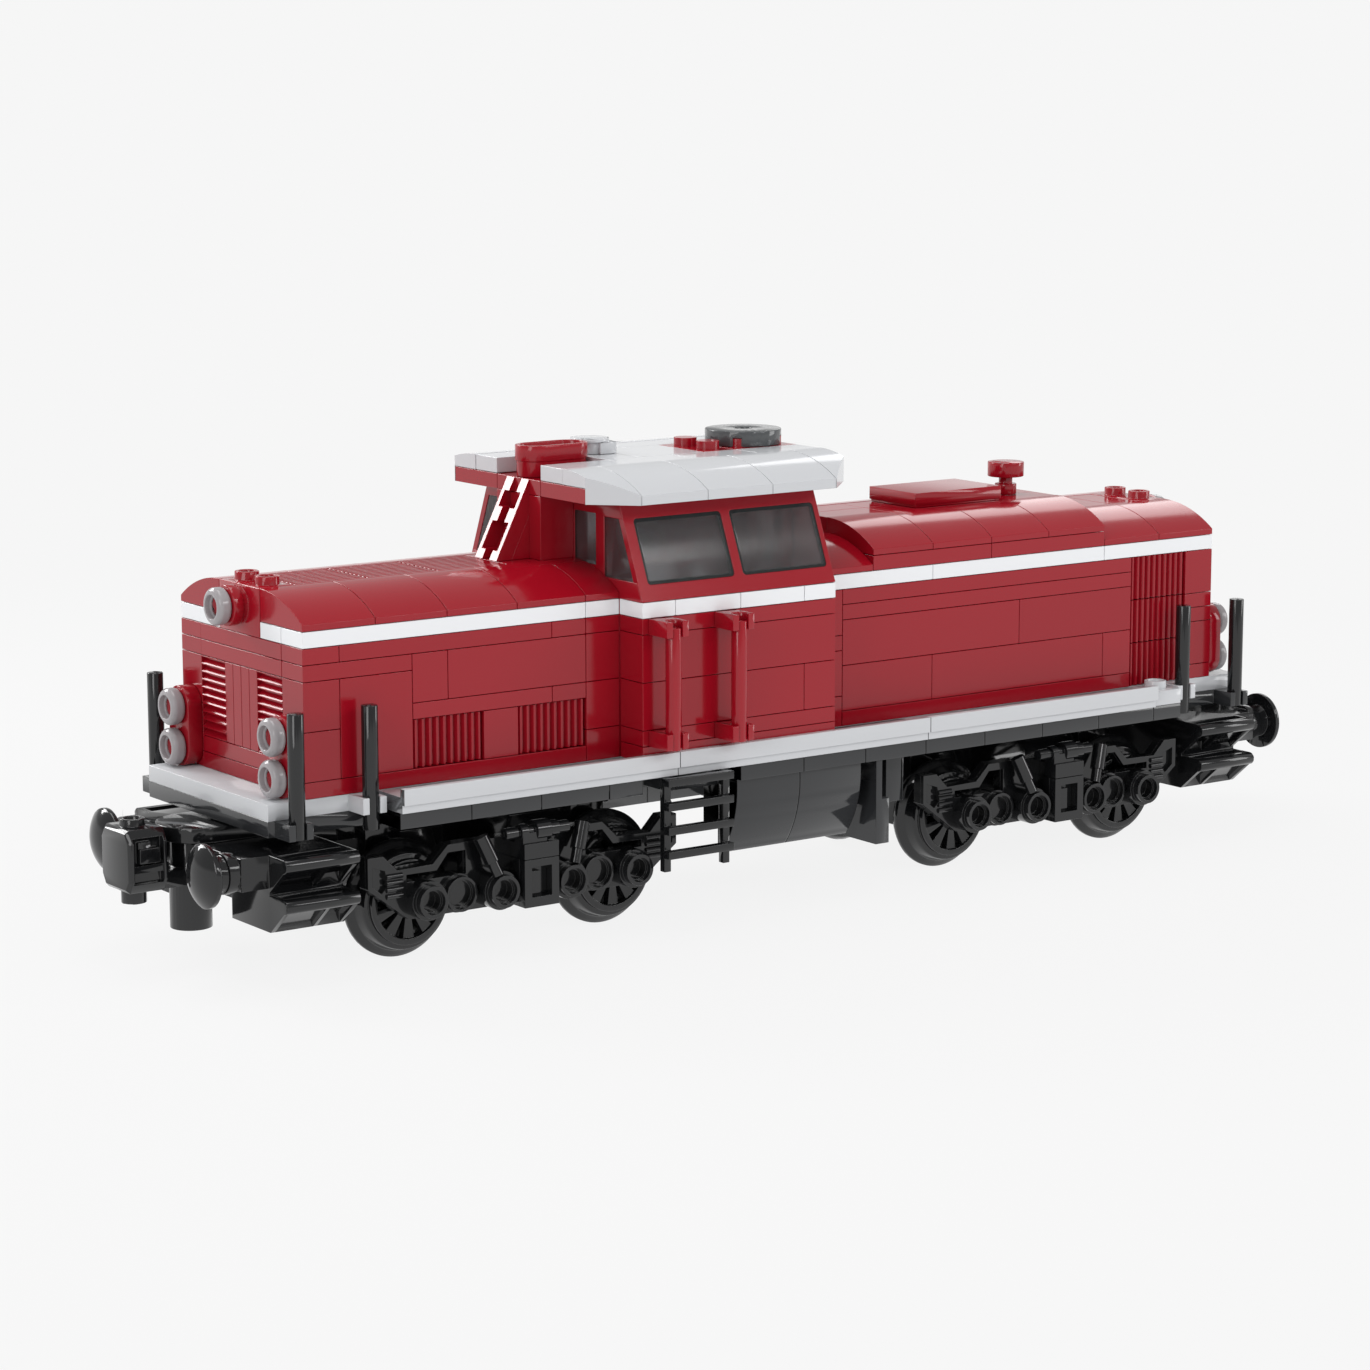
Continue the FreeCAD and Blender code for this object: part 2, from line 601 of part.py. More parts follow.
def ring_section(back, y, z):
    """Half section of a lamp ring: seat for the stud, wider mouth, rounded rim."""
    front, outer, r = LAMP_RING_W, LAMP_RING_OUT_R, LAMP_RING_ROUND
    inner = LAMP_STUD_R + RUNNING_CLEARANCE
    bow = r * (1 - math.sqrt(0.5))

    def point(depth, radius):
        return back + depth, y + radius, z

    corners = [point(r, outer), point(0, outer - r), point(0, inner), point(LAMP_RING_SEAT, inner),
               point(LAMP_RING_SEAT, LAMP_RING_MOUTH_R), point(front, LAMP_RING_MOUTH_R),
               point(front, outer - r)]
    edges = [line(start, end) for start, end in zip(corners[1:], corners[2:])]
    edges.append(arc(corners[-1], point(front - bow, outer - bow), point(front - r, outer)))
    edges.append(line(point(front - r, outer), corners[0]))
    edges.append(arc(corners[0], point(bow, outer - bow), corners[1]))
    return Part.Face(Part.Wire(edges))


def lamp_rings():
    """Round rings pushed over the lamp studs."""
    back = HOOD_END + PLATE
    rings = [ring_section(back, y, z).revolve(vec(back, y, z), vec(1, 0, 0), 360) for y, z in lamp_places()]
    return group(both_ends(rings))


def roof_slots(x_span, top):
    """Lengthwise slots of the grille tiles along the middle of a hood roof."""
    count = int(ROOF_SLOT_HALF_W // FLUTE_PITCH)
    return [groove((x_span[0], index * FLUTE_PITCH, top), (1, 0, 0), (0, 1, 0), (0, 0, -1),
                   x_span[1] - x_span[0], ROOF_SLOT_W, ROOF_SLOT_DEPTH)
            for index in range(-count, count + 1)]


def lamp_brick_room():
    """Space that the lamp brick of the +X end takes in the roof."""
    return box((HOOD_END - WALL_T, HOOD_END + 1), (-STUD, STUD), (STRIPE_TOP - 1, HOOD_ROOF_TOP + 1))


def short_hood_roof():
    run = roof_run((-HOOD_END, CAB_NEAR - SEAM), HOOD_HALF_W, ROOF_FLAT_HALF_W, STRIPE_TOP,
                   HOOD_ROOF_LIP, HOOD_ROOF_TOP)
    slots = roof_slots((-HOOD_END + WALL_T, DUCT_FOOT_X - SEAM), HOOD_ROOF_TOP)
    return cut(run, slots + [mirror_x(lamp_brick_room())])


def long_hood_roof():
    """Low roof next to the cab and over the end, with the higher run between them."""
    low = roof_run((CAB_FAR + SEAM, HOOD_END), HOOD_HALF_W, ROOF_FLAT_HALF_W, STRIPE_TOP,
                   HOOD_ROOF_LIP, HOOD_ROOF_TOP)
    riser = box((HIGH_ROOF_START, HIGH_ROOF_END), (-HOOD_HALF_W, HOOD_HALF_W), (STRIPE_TOP, HIGH_ROOF_BOTTOM))
    high = roof_run((HIGH_ROOF_START, HIGH_ROOF_END), HOOD_HALF_W, ROOF_FLAT_HALF_W, HIGH_ROOF_BOTTOM,
                    HOOD_ROOF_LIP, HIGH_ROOF_TOP)
    return fuse([low, riser, high]).cut(lamp_brick_room())


def cab_sides():
    wall = box((CAB_NEAR, CAB_FAR), (-CAB_HALF_W, -CAB_HALF_W + WALL_T - SEAM), (DECK_TOP, STRIPE_BOTTOM))
    return both_sides([wall])


def end_openings(x_span):
    """Window openings of one cab end on the -Y side: one by the middle, one at the corner."""
    x0, x1 = x_span
    z_span = (STRIPE_TOP + END_WINDOW_SPAN[0], STRIPE_TOP + END_WINDOW_SPAN[1])
    middle = box(x_span, (-END_WINDOW[1], -END_WINDOW[0]), z_span)
    corner = polygon([(x0, -y, STRIPE_TOP + z) for y, z in CORNER_WINDOW]).extrude(vec(x1 - x0, 0, 0))
    return [middle, corner]


def leaning_slab(x_span, low, high, inset, thickness, mitre=0.0):
    """Slab along the cab's leaning side between two heights above the stripe, its ends mitred inward."""
    run = CAB_HALF_W - CAB_TOP_HALF_W
    y_low = run * low / BAND_H - CAB_HALF_W + inset
    y_high = run * high / BAND_H - CAB_HALF_W + inset
    (x0, x1), z = x_span, STRIPE_TOP + low
    plan = polygon([(x0, y_low, z), (x1, y_low, z), (x1 - mitre, y_low + thickness, z),
                    (x0 + mitre, y_low + thickness, z)])
    return plan.extrude(vec(0, y_high - y_low, high - low))


def cab_end_blank():
    """Wall at the short-hood end of the cab before its windows, full width only above the stripe."""
    x0, x1 = CAB_NEAR, CAB_NEAR + END_WALL_T
    base_half, top_half = CAB_HALF_W - SEAM, CAB_TOP_HALF_W - SEAM
    wall = polygon([(x0, -base_half, STRIPE_TOP), (x0, base_half, STRIPE_TOP),
                    (x0, top_half, CAB_ROOF_BOTTOM), (x0, -top_half, CAB_ROOF_BOTTOM)])
    wall = wall.extrude(vec(END_WALL_T, 0, 0))
    lower = box((x0, x1), (-HOOD_HALF_W + SEAM, HOOD_HALF_W - SEAM), (DECK_TOP, STRIPE_TOP))
    room_t = PANEL_T + SEAM
    room = leaning_slab((CAB_NEAR - 2 * SEAM, CAB_FAR + 2 * SEAM), 0, BAND_H, 0, room_t, room_t)
    return fuse([cut(wall, with_mirror([room])), lower])


def cab_end_walls():
    x_span = (CAB_NEAR - OVERCUT, CAB_NEAR + END_WALL_T + OVERCUT)
    wall = cut(cab_end_blank(), with_mirror(end_openings(x_span)))
    return group([wall, mirror_x(wall, CAB_MIDDLE)])


def cab_end_glass():
    front = CAB_NEAR + GLASS_SETBACK
    blank = cab_end_blank()
    panes = [pane.common(blank) for pane in with_mirror(end_openings((front, front + GLASS_T)))]
    return group(panes + [mirror_x(pane, CAB_MIDDLE) for pane in panes])


def window_prism(x_span):
    """Rounded window shape pushed level through the leaning side."""
    x0, x1 = x_span
    z0, z1 = STRIPE_TOP + WINDOW_LOW, STRIPE_TOP + WINDOW_HIGH
    block = box(x_span, (-CAB_HALF_W, -CAB_TOP_HALF_W + PANEL_T), (z0, z1))
    upright_edges = [edge for edge in block.Edges
                     if abs(edge.Vertexes[0].Y - edge.Vertexes[-1].Y) > PANEL_T]
    return block.makeFillet(WINDOW_CORNER_R, upright_edges)


def cab_window_panels():
    panel = leaning_slab((CAB_NEAR, CAB_FAR), 0, BAND_H, 0, PANEL_T, PANEL_T)
    return both_sides([cut(panel, [window_prism(span) for span in SIDE_WINDOWS])])


def cab_side_glass():
    glass = leaning_slab((CAB_NEAR, CAB_FAR), 0, BAND_H, (PANEL_T - GLASS_T) / 2, GLASS_T)
    return both_sides([glass.common(window_prism(span)) for span in SIDE_WINDOWS])


def cab_interior():
    """Floor between the cab walls, the driver's desk and a seat on it."""
    half = CAB_HALF_W - WALL_T
    floor = box((CAB_NEAR + END_WALL_T + SEAM, CAB_FAR - END_WALL_T - SEAM), (-half + SEAM, half - SEAM),
                (DECK_TOP, DECK_TOP + PLATE))
    desk = box((CAB_NEAR + STUD, CAB_NEAR + 2 * STUD), (-2 * STUD, 2 * STUD),
               (DECK_TOP + PLATE, STRIPE_TOP + PLATE))
    seat = box((CAB_FAR - 3 * STUD, CAB_FAR - 2 * STUD), (-STUD, STUD), (DECK_TOP + PLATE, STRIPE_TOP))
    return fuse([floor, desk, seat])


def cab_roof_plate():
    """Red plate under the cab roof, with the inset that shows through it and its studs."""
    plate = box((ROOF_NEAR, ROOF_FAR), (-HOOD_HALF_W, HOOD_HALF_W), (CAB_ROOF_BOTTOM, CAB_PLATE_TOP))
    inset = box(INSET_SPAN, (-STUD, STUD), (CAB_PLATE_TOP, CAB_ROOF_TOP))
    studs = [stud(x, y, CAB_ROOF_TOP) for x in (-STUD, 0.0, STUD) for y in (-STUD / 2, STUD / 2)]
    return fuse([plate, inset] + studs)


def cab_roof():
    """Light roof shell: curved sides, flat middle, chamfered corners, openings for stack and inset."""
    full = roof_run((ROOF_NEAR, ROOF_FAR), CAB_HALF_W, CAB_FLAT_HALF_W, CAB_ROOF_BOTTOM, CAB_ROOF_LIP,
                    CAB_ROOF_TOP)
    corner = polygon([(ROOF_NEAR, -CAB_HALF_W, CAB_ROOF_BOTTOM), (CAB_NEAR, -CAB_HALF_W, CAB_ROOF_BOTTOM),
                      (ROOF_NEAR, -HOOD_HALF_W, CAB_ROOF_BOTTOM)]).extrude(vec(0, 0, CAB_ROOF_TOP))
    tools = []
    for piece in (corner, mirror_y(corner)):
        tools += [piece, mirror_x(piece, CAB_MIDDLE)]
    through = (CAB_PLATE_TOP - OVERCUT, CAB_ROOF_TOP + OVERCUT)
    tools.append(box((ROOF_NEAR - 1, ROOF_FAR + 1), (-HOOD_HALF_W, HOOD_HALF_W),
                     (CAB_ROOF_BOTTOM - 1, CAB_PLATE_TOP)))
    tools.append(box((ROOF_NEAR - 1, ROOF_NEAR + 2 * STUD), (-STUD, STUD), through))
    inset_half = STUD + RUNNING_CLEARANCE
    tools.append(box((INSET_SPAN[0] - RUNNING_CLEARANCE, INSET_SPAN[1] + RUNNING_CLEARANCE),
                     (-inset_half, inset_half), through))
    return cut(full, tools)


def duct_cut(low, high, half_w):
    """Recess in the duct's leaning face between two heights above the hood roof."""
    lean = (ROOF_NEAR - DUCT_FOOT_X) / (CAB_PLATE_TOP - HOOD_ROOF_TOP)
    x_low, x_high = (DUCT_FOOT_X + lean * height for height in (low, high))
    z_low, z_high = HOOD_ROOF_TOP + low, HOOD_ROOF_TOP + high
    side = polygon([(x_low - 1, -half_w, z_low), (x_high - 1, -half_w, z_high),
                    (x_high + DUCT_SLOT_DEPTH, -half_w, z_high), (x_low + DUCT_SLOT_DEPTH, -half_w, z_low)])
    return side.extrude(vec(0, 2 * half_w, 0))


def exhaust_duct():
    """Leaning duct with a notched channel down its face, and the block behind it."""
    half = STUD / 2
    side = polygon([(DUCT_FOOT_X, -half, HOOD_ROOF_TOP), (ROOF_NEAR, -half, CAB_PLATE_TOP),
                    (ROOF_NEAR, -half, HOOD_ROOF_TOP)])
    duct = side.extrude(vec(0, STUD, 0))
    tools = [duct_cut(low, high, DUCT_NOTCH_HALF_W) for low, high in DUCT_NOTCHES]
    tools.append(duct_cut(*DUCT_SLOT_SPAN, DUCT_SLOT_HALF_W))
    block = box((ROOF_NEAR, CAB_NEAR - SEAM), (-STUD, STUD), (HOOD_ROOF_TOP, CAB_ROOF_BOTTOM))
    return fuse([cut(duct, tools), block])


def exhaust_stack():
    """Round-ended stack on the roof plate, hollow at the top."""
    near, far = ROOF_NEAR, ROOF_NEAR + 2 * STUD
    foot = round_ended((near + STACK_SHRINK, far - STACK_SHRINK), STUD / 2 - STACK_SHRINK,
                       (CAB_PLATE_TOP, CAB_ROOF_TOP))
    head = round_ended((near, far), STUD / 2, (CAB_ROOF_TOP, CAB_ROOF_TOP + PLATE))
    hollow = round_ended((near + STACK_WALL, far - STACK_WALL), STUD / 2 - STACK_WALL,
                         (CAB_ROOF_TOP + PLATE / 2, CAB_ROOF_TOP + PLATE + OVERCUT))
    return fuse([foot, head]).cut(hollow)


def roof_fan():
    """Dark round plate pushed over four studs of the inset; the studs notch its edge."""
    x, y = FAN_CENTRE
    top = CAB_ROOF_TOP + PLATE
    disc = upright(STUD, x, y, (CAB_ROOF_TOP, top))
    tools = [upright(FAN_HOLE_R, x, y, (top - FAN_HOLE_DEPTH, top + OVERCUT))]
    for stud_x in (0.0, STUD):
        for stud_y in (-STUD / 2, STUD / 2):
            tools.append(upright(STUD_R + RUNNING_CLEARANCE, stud_x, stud_y,
                                 (CAB_ROOF_TOP - OVERCUT, CAB_ROOF_TOP + STUD_H + RUNNING_CLEARANCE)))
    return cut(disc, tools)


def roof_cap():
    """Small round cap with a wider rim, and the block beside it."""
    x, y = CAP_CENTRE
    rim_bottom = CAB_ROOF_TOP + PLATE - CAP_RIM_H
    body = upright(CAP_BODY_R, x, y, (CAB_ROOF_TOP, rim_bottom))
    rim = upright(STUD / 2, x, y, (rim_bottom, rim_bottom + CAP_RIM_H))
    block = box((x, x + STUD / 2), (y - STUD / 2, y + STUD / 2), (CAB_ROOF_TOP, rim_bottom))
    return fuse([body, rim, block])


def hood_hatch():
    """Flat raised tile on the high part of the long hood, with a groove round its foot."""
    x0, x1 = HATCH_SPAN
    foot = box((x0 + STACK_SHRINK, x1 - STACK_SHRINK), (-STUD + STACK_SHRINK, STUD - STACK_SHRINK),
               (HIGH_ROOF_TOP, HIGH_ROOF_TOP + TILE_GROOVE))
    lid = box(HATCH_SPAN, (-STUD, STUD), (HIGH_ROOF_TOP + TILE_GROOVE, HIGH_ROOF_TOP + PLATE))
    return fuse([foot, lid])


def horn():
    """Round horn: stud at the foot, thin neck and wide head."""
    foot = upright(STUD_R, HORN_X, 0, (HIGH_ROOF_TOP, HORN_COLLAR_TOP))
    neck = upright(HORN_NECK_R, HORN_X, 0, (HORN_COLLAR_TOP, HORN_HEAD_BOTTOM))
    head = upright(STUD / 2, HORN_X, 0, (HORN_HEAD_BOTTOM, HORN_HEAD_BOTTOM + PLATE))
    return fuse([foot, neck, head])


def corner_posts():
    """Upright bars held by the clips of deck and underframe."""
    bars = [upright(BAR_R, x, -POST_Y, (UNDERFRAME_BOTTOM, POST_TOP)) for x in (POST_INNER_X, POST_OUTER_X)]
    return both_sides(both_ends(bars))


def grab_rails():
    """Two upright bars a side beside the cab, each held by two clips on the wall."""
    pieces = []
    for x in RAIL_X:
        pieces.append(upright(BAR_R, x, -RAIL_Y, RAIL_SPAN))
        for base in RAIL_CLIP_BASES:
            pieces.append(clip(x, -CAB_HALF_W, -RAIL_Y, (base, base + PLATE), RAIL_CLIP_HALF_W))
    return both_sides(pieces)


def spoke(x):
    """One spoke of a wheel, narrow at the hub and wide at the rim, pointing up."""
    y0, y1 = RIM_Y_OUT - WEB_DEPTH, RIM_Y_OUT - SPOKE_INSET
    root = HUB_R - OVERCUT
    tip = RIM_INNER_R + OVERCUT / 2
    outline = polygon([(x - SPOKE_W_HUB / 2, y0, AXLE_Z + root), (x + SPOKE_W_HUB / 2, y0, AXLE_Z + root),
                       (x + SPOKE_W_RIM / 2, y0, AXLE_Z + tip), (x - SPOKE_W_RIM / 2, y0, AXLE_Z + tip)])
    return outline.extrude(vec(0, y1 - y0, 0))


def wheel(x):
    """One wheel on the +Y side: flange, coned tread, raised rim, ten spokes and hub."""
    web_y = RIM_Y_OUT - WEB_DEPTH
    profile = [(0, WHEEL_Y_IN), (FLANGE_R - FLANGE_W, WHEEL_Y_IN), (FLANGE_R, FLANGE_Y - FLANGE_W / 2),
               (FLANGE_R, FLANGE_Y + FLANGE_W / 2), (TREAD_R_IN, FLANGE_Y + 1.5 * FLANGE_W),
               (TREAD_R_OUT, TREAD_Y_OUT), (RIM_R, TREAD_Y_OUT), (RIM_R, RIM_Y_OUT),
               (RIM_INNER_R, RIM_Y_OUT), (RIM_INNER_R, web_y), (0, web_y)]
    disc = polygon([(x + r, y, AXLE_Z) for r, y in profile]).revolve(vec(x, 0, AXLE_Z), vec(0, 1, 0), 360)
    pieces = [disc, cylinder(HUB_R, (x, web_y, AXLE_Z), (0, 1, 0), WEB_DEPTH)]
    for index in range(SPOKES):
        turned = spoke(x)
        turned.rotate(vec(x, 0, AXLE_Z), vec(0, 1, 0), 360 * index / SPOKES)
        pieces.append(turned)
    bore = cylinder(AXLE_R, (x, WHEEL_Y_IN - 1, AXLE_Z), (0, 1, 0), web_y - WHEEL_Y_IN + 1)
    return fuse(pieces).cut(bore)


def wheels(x):
    return both_sides([wheel(x)])


def axle(x):
    half = RIM_Y_OUT - WEB_DEPTH
    return cylinder(AXLE_R, (x, -half, AXLE_Z), (0, 1, 0), 2 * half)


def bogie_frame():
    """Frame of the +X bogie: top plate, kingpin socket, axle blocks and the cross bar."""
    half_l = WHEELBASE / 2 + STUD
    pieces = [box((BOGIE_X - half_l, BOGIE_X + half_l), (-STUD, STUD), (BOGIE_TOP - PLATE, BOGIE_TOP))]
    axles = (BOGIE_X - WHEELBASE / 2, BOGIE_X + WHEELBASE / 2)
    for x in axles:
        pieces.append(box((x - STUD / 2, x + STUD / 2), (-1.5 * STUD, 1.5 * STUD),
                          (AXLE_Z - AXLE_BOX_DROP, BOGIE_TOP)))
    boss_z = DECK_TOP - BOSS_DROP
    pieces.append(box((BOGIE_X - STUD, BOGIE_X + STUD), (-SIDEFRAME_Y_IN, SIDEFRAME_Y_IN),
                      (boss_z - PLATE, boss_z + PLATE)))
    pieces.append(box((BOGIE_X - STUD, BOGIE_X + STUD), (-STUD, STUD), (boss_z, BOGIE_TOP)))
    bores = [cylinder(AXLE_R + RUNNING_CLEARANCE, (x, -2 * STUD, AXLE_Z), (0, 1, 0), 4 * STUD) for x in axles]
    socket = upright(KINGPIN_R + RUNNING_CLEARANCE, BOGIE_X, 0,
                     (BOGIE_TOP - PLATE - SEAT_GAP, BOGIE_TOP + OVERCUT))
    return cut(fuse(pieces), bores + [socket])


def frame_points(outline):
    """Points given as bogie offset and drop, set on the inner face of the +Y side frame."""
    return [(BOGIE_X + offset, SIDEFRAME_Y_IN, DECK_TOP - drop) for offset, drop in outline]


def frame_prism(outline, y_from, y_to):
    """Outline given as bogie offset and drop, pushed through between two Y values."""
    points = [(x, y_from, z) for x, _, z in frame_points(outline)]
    return polygon(points).extrude(vec(0, y_to - y_from, 0))


def boss(offset, y_out):
    """Round boss on the side frame and the hole to bore in its face."""
    start = (BOGIE_X + offset, SIDEFRAME_Y_IN, DECK_TOP - BOSS_DROP)
    mouth = (BOGIE_X + offset, y_out - BOSS_BORE_DEPTH, DECK_TOP - BOSS_DROP)
    return (cylinder(BOSS_R, start, (0, 1, 0), y_out - SIDEFRAME_Y_IN),
            cylinder(BOSS_BORE_R, mouth, (0, 1, 0), BOSS_BORE_DEPTH + OVERCUT))


def spring_coils():
    """Lying coils between the end plate and the dip of the side frame."""
    coils = []
    for index in range(SPRING_COILS):
        z = DECK_TOP - SPRING_TOP_DROP - index * SPRING_PITCH
        start = (BOGIE_X + SPRING_START, SIDEFRAME_Y_OUT, z)
        coils.append(cylinder(SPRING_COIL_R, start, (1, 0, 0), SPRING_L))
    return coils


def lever():
    """Rod that leans up and outward from the middle boss."""
    (x0, y0, drop0), (x1, y1, drop1) = LEVER_FOOT, LEVER_HEAD
    run = vec(x1 - x0, y1 - y0, drop0 - drop1)
    foot = (BOGIE_X + x0, y0, DECK_TOP - drop0)
    return cylinder(LEVER_NECK_R, foot, tuple(run), run.Length)


def half_frame():
    """Side frame from the bogie's middle to its +X end, with its bosses, springs and lever."""
    plate = frame_prism(SIDEFRAME_HALF_OUTLINE, SIDEFRAME_Y_IN, SIDEFRAME_Y_OUT)
    pocket = frame_prism(SIDEFRAME_POCKET, SIDEFRAME_Y_OUT - SIDEFRAME_POCKET_DEPTH,
                         SIDEFRAME_Y_OUT + OVERCUT)
    opening = frame_prism(SIDEFRAME_OPENING, SIDEFRAME_Y_IN - OVERCUT, SIDEFRAME_Y_OUT + OVERCUT)
    pairs = [boss(3 * STUD, OUTER_BOSS_Y), boss(2 * STUD, MIDDLE_BOSS_Y), boss(STUD, LEVER_BOSS_Y)]
    body = fuse([cut(plate, [pocket, opening])] + [body for body, _ in pairs] + spring_coils() + [lever()])
    return cut(body, [bore for _, bore in pairs])


def brake_gear():
    """Box in the middle of the side frame and the stepped cylinder lying on top of it."""
    half = STUD / 2
    body = box((BOGIE_X - half, BOGIE_X + half), (SIDEFRAME_Y_IN, CENTRE_BOX_Y),
               (DECK_TOP - SIDEFRAME_HALF_OUTLINE[-1][1], DECK_TOP - CENTRE_BOX_TOP))
    (x0, x1), (drop0, drop1) = CENTRE_SLOT
    slot = box((BOGIE_X + x0, BOGIE_X + x1), (CENTRE_BOX_Y - CENTRE_SLOT_DEPTH, CENTRE_BOX_Y + OVERCUT),
               (DECK_TOP - drop1, DECK_TOP - drop0))
    axis_y = CENTRE_BOX_Y - BRAKE_CYLINDER_STEPS[2][2]
    z = DECK_TOP - BRAKE_CYLINDER_DROP
    saddle = box((BOGIE_X - half, BOGIE_X + BAR_R), (axis_y - BAR_R, axis_y + BAR_R),
                 (DECK_TOP - CENTRE_BOX_TOP, z))
    steps = [cylinder(radius, (BOGIE_X + start, axis_y, z), (1, 0, 0), end - start)
             for start, end, radius in BRAKE_CYLINDER_STEPS]
    return [body.cut(slot), saddle] + steps


def side_frames():
    """Outside frames of the +X bogie."""
    half = half_frame()
    return both_sides([fuse([half, mirror_x(half, BOGIE_X)] + brake_gear())])


def step_profile(x):
    """Section of one end step with its tread at Z = 0: rounded nose, underside sloping back."""
    nose, inner, r = STEP_NOSE_Y, BEAM_HALF_W, STEP_NOSE_R
    return Part.Face(Part.Wire([
        line((x, inner, 0), (x, nose - r, 0)),
        arc((x, nose - r, 0), (x, nose, -r), (x, nose - r, -2 * r)),
        line((x, nose - r, -2 * r), (x, inner, -STEP_H)),
        line((x, inner, -STEP_H), (x, inner, 0)),
    ]))


def step_panel(x_span, depth):
    """Hollow let into the sloping underside of a step, open at the foot of the slope."""
    x = x_span[0]
    y0, z0 = STEP_NOSE_Y - STEP_NOSE_R, -2 * STEP_NOSE_R
    run, rise = y0 - BEAM_HALF_W, STEP_H + z0
    slope = math.hypot(run, rise)
    in_y, in_z = -depth * rise / slope, depth * run / slope
    out_y, out_z = OVERCUT * rise / slope, -OVERCUT * run / slope
    foot = (BEAM_HALF_W - run / 4, -STEP_H - rise / 4)
    outline = polygon([(x, y0 + out_y, z0 + out_z), (x, y0 + in_y, z0 + in_z),
                       (x, foot[0] + in_y, foot[1] + in_z), (x, foot[0] + out_y, foot[1] + out_z)])
    return outline.extrude(vec(x_span[1] - x, 0, 0))


def steps():
    """The two steps of the +Y side, each hollow in its tread and under its slope."""
    inside = (STEP_FAR + STEP_WALL, STEP_NEAR - STEP_WALL)
    step = step_profile(STEP_FAR).extrude(vec(STEP_NEAR - STEP_FAR, 0, 0))
    tread = box(inside, (BEAM_HALF_W + STEP_WALL, STEP_NOSE_Y - 2 * STEP_NOSE_R), (-STEP_TREAD_DEPTH, OVERCUT))
    rib = inside[0] + STEP_DEEP_L
    shallow, deep = STEP_PANEL_DEPTHS
    step = cut(step, [tread, step_panel((inside[0], rib), deep),
                      step_panel((rib + STEP_RIB, inside[1]), shallow)])
    pieces = []
    for top in (BOGIE_TOP, BOGIE_TOP - STEP_PITCH):
        piece = step.copy()
        piece.translate(vec(0, 0, top))
        pieces.append(piece)
    return pieces


def buffer(y):
    """Round buffer: collar, shank and a head with a domed face."""
    disc_x = BUFFER_FACE_X - BUFFER_RIM
    collar = cylinder(BUFFER_COLLAR_R, (BEAM_X_OUT, y, BUFFER_Z), (1, 0, 0), BUFFER_COLLAR_L)
    shank = cylinder(BUFFER_SHANK_R, (BEAM_X_OUT, y, BUFFER_Z), (1, 0, 0), disc_x - BEAM_X_OUT)
    disc = cylinder(BUFFER_R, (disc_x, y, BUFFER_Z), (1, 0, 0), BUFFER_RIM)
    radius = (BUFFER_R ** 2 + BUFFER_DOME ** 2) / (2 * BUFFER_DOME)
    ball = Part.makeSphere(radius, vec(BUFFER_FACE_X + BUFFER_DOME - radius, y, BUFFER_Z))
    trim = cylinder(BUFFER_R, (BUFFER_FACE_X, y, BUFFER_Z), (1, 0, 0), BUFFER_DOME + 1)
    return [collar, shank, disc, ball.common(trim)]


def end_platform():
    """Platform of the +X end: beam, buffers and steps, carried on an arm from the bogie."""
    half = BEAM_HALF_W
    lower_bottom = BOGIE_TOP - STEP_PITCH - STEP_H
    pieces = [box((STEP_FAR, STEP_NEAR), (-half, half), (lower_bottom, BOGIE_TOP)),
              box((BOGIE_X + WHEELBASE / 2 + STUD, STEP_FAR), (-STUD, STUD), (BOGIE_TOP - PLATE, BOGIE_TOP))]
    sides = steps() + [box((STEP_NEAR, BEAM_X_OUT), (BEAM_BLOCK_Y_IN, half), (BOGIE_TOP - BEAM_BLOCK_H, BOGIE_TOP))]
    pieces += with_mirror(sides + buffer(BUFFER_Y))
    room = box((STEP_NEAR - STUD, STEP_NEAR + STUD), (-BEAM_BLOCK_Y_IN, BEAM_BLOCK_Y_IN),
               (lower_bottom - 1, BOGIE_TOP))
    return fuse([fuse(pieces).cut(room)] + tongue())


def tongue():
    """Round-ended plate on top of the beam, with the pin that the coupler turns on."""
    level = (BOGIE_TOP, UNDERFRAME_BOTTOM - SEAT_GAP)
    plate = box((STEP_FAR, TONGUE_NOSE_X), (-STUD, STUD), level)
    nose = upright(STUD, TONGUE_NOSE_X, 0, level)
    pin = upright(PIVOT_PIN_R, COUPLER_PIVOT_X, 0, (PIVOT_TUBE_BOTTOM + SEAT_GAP, BOGIE_TOP))
    return [plate, nose, pin]


def coupler_section(x, inset):
    """Barrel-shaped outline of the magnet block, drawn in all round by an inset."""
    wide, narrow = COUPLER_HALF_W - inset, COUPLER_TOP_HALF_W - inset / 2
    top, bottom = COUPLER_TOP - inset, COUPLER_BOTTOM + inset
    high, low = COUPLER_TOP - COUPLER_SHOULDER, COUPLER_BOTTOM + COUPLER_SHOULDER
    half = [(narrow, top), (wide, high), (wide, low), (narrow, bottom)]
    points = half + [(-y, z) for y, z in reversed(half)]
    outline = [vec(x, y, z) for y, z in points]
    return Part.makePolygon(outline + outline[:1])


